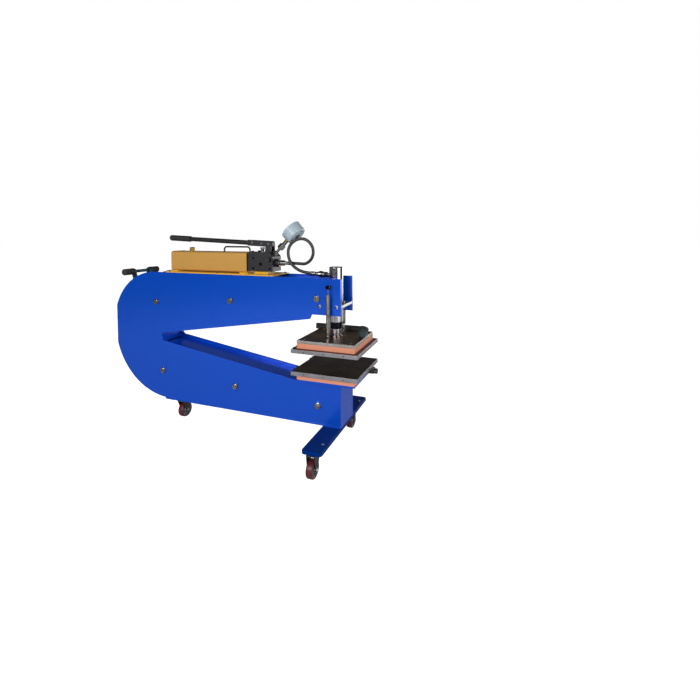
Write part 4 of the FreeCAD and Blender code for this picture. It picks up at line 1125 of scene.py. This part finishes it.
@dataclass
class SpringEyes:
    """The threaded eyes that the springs hook into."""

    press: Press

    def build(self) -> None:
        """Build and dress both eyes."""
        shape = Shape()
        for low, high in self.press.solids("spring_eyes"):
            middle = (low + high) / 2
            foot = Vector((middle.x, middle.y, low.z))
            shape.washer(foot, UP, 9.5 * MM, 4 * MM, 1.5 * MM)
            shape.nut(foot + UP * 1.5 * MM, UP, 14 * MM, 5 * MM)
            shape.turn([(0, 4 * MM), (14 * MM, 4 * MM)], foot, UP, 20)
            centre = Vector((middle.x, middle.y, high.z - 9.5 * MM))
            angles = [TAU * step / 28 for step in range(28)]
            ring = [centre + Vector((0, math.cos(a), math.sin(a))) * 7 * MM for a in angles]
            shape.rod(ring, 2.5 * MM, 12, closed=True)
        self.press.install(shape.piece("spring_eye_bolts"), ZINC, "press_head", ("spring_eyes",))


@dataclass
class Pump:
    """The two-stage hand pump: plate, tank, block, plunger, valve, filler cap and bail."""

    press: Press
    seam: float = 1.3 * MM
    tank_corner: float = 12 * MM
    plate_thickness: float = 5 * MM
    block_top: float = 878 * MM
    outlet_height: float = 828 * MM
    outlet_face: float = 237 * MM

    def build(self) -> None:
        """Build and dress the pump."""
        self.press.eased("pump_plate", PLATE_YELLOW, 0.8 * MM)
        self.press.eased("pump_tank", TANK_AMBER, 1.0 * MM)
        self.press.eased("pump_block", BLACK_STEEL, 1.2 * MM)
        self.press.eased("pump_plunger", CHROME, 0.6 * MM)
        self.press.eased("carry_bail", BLACK_STEEL, 0.4 * MM)
        self.press.eased("pump_coupler", ZINC, 0.5 * MM)
        self.seams()
        self.bolts()
        self.filler_cap()
        self.release_valve()
        self.pivot_pin()

    def seams(self) -> None:
        """Weld seams round both ends of the tank."""
        low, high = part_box("pump_tank")
        corner = self.tank_corner
        shape = Shape()
        for x in (low.x + 3 * MM, high.x - 2 * MM):
            outline = []
            for quarter, (y, z) in enumerate(((high.y, high.z), (low.y, high.z), (low.y, low.z),
                                              (high.y, low.z))):
                middle = Vector((x, y - math.copysign(corner, y), z - (corner if z == high.z else -corner)))
                for step in range(7):
                    angle = (quarter + step / 6) * TAU / 4
                    outline.append(middle + Vector((0, math.cos(angle), math.sin(angle))) * corner)
            shape.rod(outline, self.seam, 8, closed=True)
        self.press.install(shape.piece("tank_weld_seams"), TANK_AMBER, "frame")

    def bolts(self) -> None:
        """The plate's screws, the block's screws and its blanking plugs."""
        low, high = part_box("pump_plate")
        block_low, block_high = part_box("pump_block")
        plate_top = low.z + self.plate_thickness
        shape = Shape()
        for x in (low.x + 14 * MM, (low.x + high.x) / 2, high.x - 14 * MM):
            for side in (-1, 1):
                shape.socket_screw(Vector((x, side * (high.y - 11 * MM), plate_top)), UP, 5.5 * MM, 3.5 * MM)
        self.press.install(shape.piece("pump_plate_screws"), ZINC, "frame")
        plugs = Shape()
        height = plate_top + 30 * MM
        for side in (-1, 1):
            face = side * block_high.y
            for x, z, radius in ((120 * MM, height - 4 * MM, 5 * MM), (120 * MM, height + 44 * MM, 5 * MM),
                                 (160 * MM, height + 16 * MM, 7 * MM), (208 * MM, height - 4 * MM, 5 * MM)):
                plugs.socket_screw(Vector((x, face, z)), ACROSS * side, radius, 3 * MM)
        for y in (28 * MM, -28 * MM):
            plugs.nut(Vector((block_low.x + 22 * MM, y, self.block_top)), UP, 14 * MM, 6 * MM)
        self.press.install(plugs.piece("pump_block_plugs"), GLAND_BLACK, "frame")
        ring = Shape().turn([(0, 13 * MM), (0, 17.5 * MM), (1.2 * MM, 18 * MM), (4 * MM, 18 * MM),
                             (5 * MM, 16.5 * MM), (5 * MM, 13 * MM)],
                            Vector((self.outlet_face, 0, self.outlet_height)), RIGHT, 40, closed=True)
        self.press.install(ring.piece("outlet_collar"), ZINC, "frame")

    def filler_cap(self) -> None:
        """The knurled brass filler cap."""
        low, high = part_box("filler_cap")
        middle, height = (low + high) / 2, high.z - low.z
        base, radius = Vector((middle.x, middle.y, low.z)), (high.x - low.x) / 2
        shape = Shape().turn([(0, radius - 3 * MM), (3 * MM, radius - 3 * MM)], base, UP, 32)
        shape.turn([(3 * MM, radius - 1 * MM), (4 * MM, radius), (height - 3 * MM, radius),
                    (height - 1.6 * MM, radius - 1.4 * MM)], base, UP, 56, flute=0.7 * MM)
        shape.turn([(height - 2 * MM, radius - 3 * MM), (height - 0.4 * MM, radius - 3.6 * MM),
                    (height, radius - 5 * MM), (height - 0.8 * MM, 2 * MM), (height - 2 * MM, 1.6 * MM)],
                   base, UP, 32)
        self.press.install(shape.piece("filler_cap_knurled"), BRASS, "filler_cap", ("filler_cap",))

    def release_valve(self) -> None:
        """The fluted release wheel with its cross bar."""
        low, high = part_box("release_valve")
        middle, depth = (low + high) / 2, high.y - low.y
        start, radius = Vector((middle.x, high.y, middle.z)), (high.x - low.x) / 2
        shape = Shape().turn([(0, 6 * MM), (4 * MM, 6 * MM), (4.2 * MM, radius - 0.8 * MM), (5 * MM, radius),
                              (depth - 3 * MM, radius), (depth - 1.5 * MM, radius - 1.2 * MM),
                              (depth - 1.5 * MM, 5 * MM), (depth, 4 * MM)],
                             start, -ACROSS, 36, flute=1.0 * MM)
        bar = start - ACROSS * 11 * MM
        reach = radius - 0.4 * MM
        shape.rod([bar - RIGHT * reach, bar + RIGHT * reach], 2 * MM, 12)
        self.press.install(shape.piece("release_wheel"), BLACK_PLASTIC, "release_valve", ("release_valve",))

    def pivot_pin(self) -> None:
        """The lever's pivot pin with its head, washer and retaining ring."""
        low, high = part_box("pivot_pin")
        middle, length = (low + high) / 2, high.y - low.y
        start = Vector((middle.x, low.y, middle.z))
        shape = Shape().turn([(0, 6 * MM), (1 * MM, 7.5 * MM), (3 * MM, 7.5 * MM), (3 * MM, 5 * MM),
                              (length - 1 * MM, 5 * MM), (length, 4.2 * MM)], start, ACROSS, 32)
        shape.washer(start + ACROSS * (length - 3 * MM), ACROSS, 7.5 * MM, 4.6 * MM, 1.6 * MM)
        self.press.install(shape.piece("lever_pivot_pin"), ZINC, "frame", ("pivot_pin",))


@dataclass
class Lever:
    """The pump lever: head with its cross pin, tube and ribbed grip."""

    press: Press
    slope: float = math.radians(2.7)
    grip_start: float = 462 * MM
    length: float = 588 * MM
    grip_radius: float = 14.5 * MM
    rib_pitch: float = 7.5 * MM
    cheek_offset: float = 11.2 * MM
    cheek_half: float = 1.6 * MM
    cross_pin_at: float = 42 * MM
    clamp_at: float = 92 * MM

    def build(self) -> None:
        """Build and dress the lever."""
        self.press.eased("lever_tube", BLACK_STEEL, 0.6 * MM)
        self.press.eased("lever_socket", BLACK_STEEL, 1.0 * MM)
        pivot = self.press.centre("pivot_pin")
        way = Vector((-math.cos(self.slope), 0, math.sin(self.slope)))
        self.head(pivot, way)
        self.grip(pivot, way)

    def head(self, pivot: Vector, way: Vector) -> None:
        """The lever head's cross pin, clamp bolt and cheek plates."""
        shape = Shape()
        normal = ACROSS.cross(way)
        lower = [(-16, -10), (-11, -14), (106, -14), (112, -10)]  # mm along the lever and out from it
        outline = [pivot + way * (along * MM) + normal * (out * MM)
                   for along, out in lower + [(along, -out) for along, out in reversed(lower)]]
        for side in (-1, 1):
            y = side * self.cheek_offset
            shape.skin([[shape.mesh.verts.new(point + ACROSS * (y + depth)) for point in outline]
                        for depth in (-self.cheek_half, self.cheek_half)])
        self.press.install(shape.piece("lever_cheeks"), BLACK_STEEL, "pump_lever")
        pins = Shape()
        cross = pivot + way * self.cross_pin_at
        for side in (-1, 1):
            pins.turn([(-3 * MM, 6 * MM), (3 * MM, 6 * MM), (4 * MM, 5 * MM)],
                      cross + ACROSS * side * 12 * MM, ACROSS * side, 24)
        clamp = pivot + way * self.clamp_at
        pins.nut(clamp - ACROSS * 12 * MM, -ACROSS, 11 * MM, 4 * MM)
        self.press.install(pins.piece("lever_cross_pin"), ZINC, "pump_lever")

    def grip(self, pivot: Vector, way: Vector) -> None:
        """The rubber grip with rings moulded round it."""
        start, end, radius = self.grip_start, self.length, self.grip_radius
        profile = [(start, 10.4 * MM), (start, radius - 1 * MM), (start + 1 * MM, radius),
                   (start + 5 * MM, radius)]
        ribs = int((end - start - 24 * MM) / self.rib_pitch)
        starts = [start + 8 * MM + rib * self.rib_pitch for rib in range(ribs)]
        profile += ridges(starts, radius, radius - 1.3 * MM, 1 * MM, 3.4 * MM)
        profile += [(end - 5 * MM, radius), (end - 2 * MM, radius - 1.5 * MM), (end, radius - 5 * MM)]
        shape = Shape().turn(profile, pivot, way, 40)
        self.press.install(shape.piece("lever_grip_ribbed"), BLACK_RUBBER, "pump_lever", ("lever_grip",))


@dataclass
class Gauge:
    """The pressure gauge on its inclined stem."""

    press: Press
    radius: float = 49 * MM
    depth: float = 50 * MM
    recess: float = 12 * MM
    lip: float = 6.4 * MM
    scale_radius: float = 40 * MM
    sweep: float = math.radians(270)
    steps: int = 6
    up: Vector = field(default_factory=lambda: Vector((1, 0, 1)).normalized())
    face: Vector = field(default_factory=lambda: Vector((-1, 0, 1)).normalized())

    def build(self) -> None:
        """Build and dress the gauge."""
        self.press.eased("gauge_stem", ZINC, 0.6 * MM)
        self.press.eased("gauge_case", CASE_GREY, 1.2 * MM)
        self.press.eased("gauge_needle", NEEDLE_RED, 0.2 * MM)
        centre = self.centre()
        dial = centre + self.face * (self.depth / 2 - self.recess)
        self.bezel(centre)
        self.dial(dial)
        self.back(centre)

    def centre(self) -> Vector:
        """The middle of the case, from the corners that its front rim reaches."""
        low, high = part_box("gauge_case")
        reach = (self.radius + self.depth / 2) * math.sqrt(0.5)
        return Vector((low.x + reach, 0, high.z - reach))

    def way(self, angle: float) -> Vector:
        """The direction at an angle clockwise from the needle's zero, which is lower left."""
        zero = (ACROSS - self.up).normalized()
        return Matrix.Rotation(-angle, 3, self.face) @ zero

    def bezel(self, centre: Vector) -> None:
        """The glass and the ring that holds it."""
        front = self.depth / 2
        outer, inner, opening = self.radius - 4 * MM, self.radius - self.lip, self.radius - 9 * MM
        ring = Shape().turn([(front - 5 * MM, inner), (front - 1.4 * MM, inner), (front - 0.6 * MM, outer),
                             (front - 1.2 * MM, opening), (front - 5 * MM, opening)],
                            centre, self.face, 72, closed=True)
        self.press.install(ring.piece("gauge_bezel"), BLACK_PLASTIC, "frame")
        glass = Shape().turn([(front - 6 * MM, inner), (front - 4.6 * MM, inner)], centre, self.face, 72)
        self.press.install(glass.piece("gauge_lens"), LENS, "frame")

    def dial(self, dial: Vector) -> None:
        """The dial plate with its graduations and numerals."""
        edge = self.radius - self.lip
        plate = Shape().turn([(0.1 * MM, edge), (0.5 * MM, edge)], dial, self.face, 64)
        self.press.install(plate.piece("gauge_dial"), DIAL_WHITE, "frame")
        marks = Shape()
        fine = self.steps * 5
        top = dial + self.face * 0.7 * MM
        for step in range(fine + 1):
            out = self.way(self.sweep * step / fine)
            length = 7 * MM if step % 5 == 0 else 4 * MM
            width = 0.6 * MM if step % 5 == 0 else 0.35 * MM
            side = self.face.cross(out) * width
            inner, outer = top + out * (self.scale_radius - length), top + out * self.scale_radius
            corners = (inner - side, inner + side, outer + side, outer - side)
            marks.mesh.faces.new([marks.mesh.verts.new(corner) for corner in corners])
        self.numerals(marks, top)
        self.press.install(marks.piece("gauge_graduations"), INK, "frame")

    def numerals(self, marks: Shape, top: Vector) -> None:
        """Plain numbers beside the long graduations, added to marks."""
        right = self.up.cross(self.face)
        turn = Matrix((right, self.up, self.face)).transposed().to_4x4()
        for step in range(self.steps + 1):
            text = bpy.data.curves.new("numeral", "FONT")
            text.body, text.size = str(step * 10), 7 * MM
            text.align_x, text.align_y = "CENTER", "CENTER"
            flat = bpy.data.objects.new("numeral", text)
            mesh = bpy.data.meshes.new_from_object(flat)
            place = top + self.way(self.sweep * step / self.steps) * 27 * MM
            mesh.transform(Matrix.Translation(place) @ turn)
            marks.mesh.from_mesh(mesh)
            bpy.data.objects.remove(flat)
            bpy.data.curves.remove(text)
            bpy.data.meshes.remove(mesh)

    def back(self, centre: Vector) -> None:
        """The blow-out disc and screws in the back of the case, and the brass collar on the stem."""
        back = centre - self.face * (self.depth / 2)
        shape = Shape()
        for turn in range(3):
            out = self.way(TAU * turn / 3 + 0.5)
            shape.socket_screw(back + out * 34 * MM, -self.face, 3 * MM, 1.4 * MM)
        shape.turn([(-1 * MM, 13 * MM), (0.6 * MM, 13 * MM), (1.4 * MM, 12 * MM)], back, -self.face, 40)
        self.press.install(shape.piece("gauge_back_disc"), BLACK_RUBBER, "frame")
        collar = Shape().turn([(0, 9.5 * MM), (1 * MM, 11 * MM), (6 * MM, 11 * MM), (7 * MM, 9.5 * MM)],
                              centre - self.up * (self.radius + 5 * MM), self.up, 32)
        self.press.install(collar.piece("gauge_collar"), BRASS, "frame")


@dataclass
class Hose:
    """The high-pressure hose: out of the pump, once round a loop and into the cylinder."""

    press: Press
    radius: float = 7 * MM
    length: float = 0.529
    route: tuple[tuple[float, float, float], ...] = (
        (0.287, 0, 0.828), (0.332, 0, 0.828), (0.378, -0.003, 0.825), (0.414, -0.007, 0.859),
        (0.415, -0.011, 0.907), (0.381, -0.015, 0.942), (0.335, -0.019, 0.940), (0.298, -0.023, 0.908),
        (0.295, -0.025, 0.860), (0.316, -0.023, 0.819), (0.350, -0.013, 0.794), (0.384, 0, 0.786),
        (0.421, 0, 0.7838))

    def build(self) -> None:
        """Lay the hose and crimp its two ends."""
        data = bpy.data.curves.new("pressure_hose", "CURVE")
        data.dimensions = "3D"
        line = data.splines.new("NURBS")
        line.points.add(len(self.route) - 1)
        for point, place in zip(line.points, self.route):
            point.co = (*place, 1)
        line.order_u = 3
        line.use_endpoint_u = True
        line.resolution_u = 12
        data.bevel_depth, data.bevel_resolution = self.radius, 6
        data.use_fill_caps = True
        hose = linked("pressure_hose", data)
        self.press.install(hose, HOSE_RUBBER, "frame", ("hose",))
        ferrules = [self.ferrule("pump_hose_ferrule", 0, 1), self.ferrule("cylinder_hose_ferrule", -1, -2)]

    def ferrule(self, name: str, end: int, inner: int) -> bpy.types.Object:
        """A crimped sleeve on one end of the hose; end and inner are indices of the route."""
        start, way = Vector(self.route[end]), Vector(self.route[inner]) - Vector(self.route[end])
        bore, full = 7.2 * MM, 9.6 * MM
        profile = [(-1 * MM, bore), (-1 * MM, 9.4 * MM), (1 * MM, full)]
        profile += ridges([(2 + 6 * crimp) * MM for crimp in range(3)], full, 8.7 * MM, 1.2 * MM, 5 * MM)
        profile += [(21 * MM, 9.4 * MM), (22 * MM, 8.4 * MM), (22 * MM, bore)]
        sleeve = Shape().turn(profile, start, way, 32, closed=True).piece(name)
        return self.press.install(sleeve, ZINC, "frame")


@dataclass
class PushHandle:
    """The bar at the rear that the press is wheeled by."""

    press: Press
    rib_pitch: float = 8 * MM

    def build(self) -> None:
        """Build and dress the handle."""
        self.press.eased("handle_bar", TEAL, 0.6 * MM)
        self.press.eased("handle_legs", TEAL, 1.0 * MM)
        shape = Shape()
        for low, high in self.press.solids("push_grips"):
            middle, radius, length = (low + high) / 2, (high.x - low.x) / 2, high.y - low.y
            side = math.copysign(1, middle.y)
            end = Vector((middle.x, side * max(abs(low.y), abs(high.y)), middle.z))
            profile = [(0, radius - 5 * MM), (1.5 * MM, radius - 2 * MM), (4 * MM, radius), (8 * MM, radius)]
            ribs = int((length - 20 * MM) / self.rib_pitch)
            starts = [10 * MM + rib * self.rib_pitch for rib in range(ribs)]
            profile += ridges(starts, radius, radius - 1.4 * MM, 1 * MM, 4 * MM)
            profile += [(length - 6 * MM, radius), (length - 4 * MM, radius + 1.2 * MM),
                        (length - 1 * MM, radius + 1 * MM), (length, radius - 1 * MM)]
            shape.turn(profile, end, ACROSS * -side, 36)
        self.press.install(shape.piece("push_grips_ribbed"), BLACK_RUBBER, "frame", ("push_grips",))
        bolts = Shape()
        for low, high in self.press.solids("handle_legs"):
            middle = (low + high) / 2
            side = math.copysign(1, middle.y)
            face = Vector((middle.x, side * max(abs(low.y), abs(high.y)), middle.z - 6 * MM))
            bolts.nut(face, ACROSS * side, 13 * MM, 5 * MM)
        self.press.install(bolts.piece("handle_leg_bolts"), ZINC, "frame")


@dataclass
class Wiring:
    """The two platens' connectors and the duct on the upper platen."""

    press: Press
    lean: float = 0.24
    plug_at: tuple[float, float] = (641 * MM, 6 * MM)
    wire_offset: float = 17.6 * MM

    def build(self) -> None:
        """Build and dress the connectors and the duct."""
        self.press.eased("wire_duct", BLACK_PLASTIC, 1.5 * MM)
        self.upper()
        self.lower()

    def upper(self) -> None:
        """The upper platen's plug: a foot, a ribbed housing and its cap."""
        foot = Vector((*self.plug_at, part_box("upper_connector")[0].z))
        axis = Vector((self.lean, 0, 1)).normalized()
        base = Shape().turn([(0, 11.5 * MM), (1 * MM, 12 * MM), (9 * MM, 12 * MM), (10 * MM, 11 * MM)],
                            foot, UP, 32)
        root = foot + UP * 8 * MM
        cap = base.turn([(24 * MM, 20.5 * MM), (25 * MM, 22 * MM), (36 * MM, 22.8 * MM), (38 * MM, 21.5 * MM),
                         (40 * MM, 18 * MM), (39 * MM, 8 * MM)], root, axis, 40)
        self.press.install(cap.piece("upper_plug_cap"), BLACK_PLASTIC, "press_head", ("upper_connector",))
        profile = [(0, 16 * MM), (1 * MM, 17 * MM)]
        profile += ridges([(3 + 5 * rib) * MM for rib in range(4)], 17.2 * MM, 18.4 * MM, 1 * MM, 4 * MM)
        profile += [(24 * MM, 18 * MM)]
        body = Shape().turn(profile, root, axis, 40)
        self.press.install(body.piece("upper_plug_housing"), CONNECTOR_GREY, "press_head")

    def lower(self) -> None:
        """The lower platen's plug with its clamp and cable nut."""
        self.press.eased("lower_connector", BLACK_PLASTIC, 1.5 * MM)
        low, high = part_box("lower_connector")
        middle = (low + high) / 2
        round_start = high.x - 14 * MM
        axis_z = high.z - 12.5 * MM
        shape = Shape()
        for side in (-1, 1):
            y = middle.y + side * self.wire_offset
            shape.rod([Vector((low.x + 20 * MM, y, axis_z)), Vector((low.x + 23 * MM, y, high.z - 2 * MM)),
                       Vector((low.x + 12 * MM, y, high.z + 0.2 * MM))], 1.1 * MM, 8)
        shape.turn([(1 * MM, 9 * MM), (2 * MM, 12.2 * MM), (9 * MM, 12.2 * MM), (10 * MM, 9 * MM)],
                   Vector((round_start, middle.y, low.z + 12 * MM)), RIGHT, 24, flute=0.8 * MM)
        self.press.install(shape.piece("lower_plug_clamp"), ZINC, "frame")


# ---------------------------------------------------------------- floor, light and camera


@dataclass
class Studio:
    """A plain pale floor, soft light and the camera."""

    floor_size: float = 60.0
    floor_glow: float = 0.97
    camera_at: tuple[float, float, float] = (1.185, -1.665, 0.9592)
    pitch: float = math.pi / 2 - 0.047
    heading: float = 0.345
    lens: float = 20.84
    shift: float = -0.1374

    def build(self) -> None:
        """Set the floor, the lights and the camera."""
        self.floor()
        self.world()
        self.light("key", (-0.2, -3.6, 1.9), (0.0, 0.0, 0.6), (3.0, 1.0), 104.0)
        self.light("front", (3.5, -1.35, 1.1), (0.3, 0.0, 0.7), (2.6, 2.4), 56.0)
        self.light("rear", (1.6, 3.6, 0.9), (0.0, 0.0, 0.5), (2.4, 1.6), 50.0)
        scene = bpy.context.scene
        data = bpy.data.cameras.new("camera")
        data.lens, data.shift_y = self.lens, self.shift
        camera = linked("camera", data)
        camera.location, camera.rotation_euler = self.camera_at, (self.pitch, 0, self.heading)
        scene.camera = camera
        scene.view_settings.view_transform = "Standard"

    def floor(self) -> None:
        """The pale floor."""
        half = self.floor_size / 2
        mesh = bmesh.new()
        corners = ((-half, -half, 0), (half, -half, 0), (half, half, 0), (-half, half, 0))
        mesh.faces.new([mesh.verts.new(corner) for corner in corners])
        data = bpy.data.meshes.new("floor")
        mesh.to_mesh(data)
        mesh.free()
        floor = linked("floor", data)
        finish = PaleFloor("studio_floor", srgb(226, 226, 226), 0.8, gloss=0.1, glow=self.floor_glow)
        data.materials.append(finish.material())

    def world(self) -> None:
        """A white backdrop in a dim room that darkens overhead."""
        world = bpy.data.worlds.new("surround")
        bpy.context.scene.world = world
        world.use_nodes = True
        tree = Tree(world.node_tree)
        height = tree.node("SeparateXYZ", {0: tree.node("TexCoord").outputs["Generated"]}).outputs["Z"]
        room = tree.mix(tree.span(height, 0.1, 0.9), (0.12, 0.12, 0.125, 1.0), (0.07, 0.07, 0.075, 1.0))
        seen = tree.node("LightPath").outputs["Is Camera Ray"]
        background = tree.node("Background", {"Color": tree.mix(seen, room, (1.0, 1.0, 1.0, 1.0))})
        tree.feed(tree.node("OutputWorld").inputs["Surface"], background.outputs[0])

    def light(self, name: str, place: tuple[float, float, float], target: tuple[float, float, float],
              size: tuple[float, float], power: float) -> None:
        """Hang a rectangular soft light.

        Args:
            name: the light's name.
            place: where it hangs.
            target: what it points at.
            size: its width and height.
            power: in watts.
        """
        data = bpy.data.lights.new(name, "AREA")
        data.shape, data.energy = "RECTANGLE", power
        data.size, data.size_y = size
        lamp = linked(name, data)
        lamp.location = place
        lamp.rotation_euler = (Vector(target) - Vector(place)).to_track_quat("-Z", "Y").to_euler()


def main() -> None:
    """Build the studio and every sub-assembly in order."""
    logging.basicConfig(level=logging.INFO, format="%(message)s")
    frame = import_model()
    press = Press(frame)
    Studio().build()
    Hose(press).build()
    assemblies = [Carcass(press), CasterHeads(press)]
    assemblies += [Caster(press, place) for place in ("front_near", "front_far", "rear")]
    assemblies += [Platens(press), Hydraulics(press), SpringEyes(press)]
    assemblies += [ReturnSpring(press, side) for side in ("near", "far")]
    assemblies += [Pump(press), Lever(press), Gauge(press), PushHandle(press), Wiring(press)]
    for assembly in assemblies:
        assembly.build()


if __name__ == "__main__":
    main()
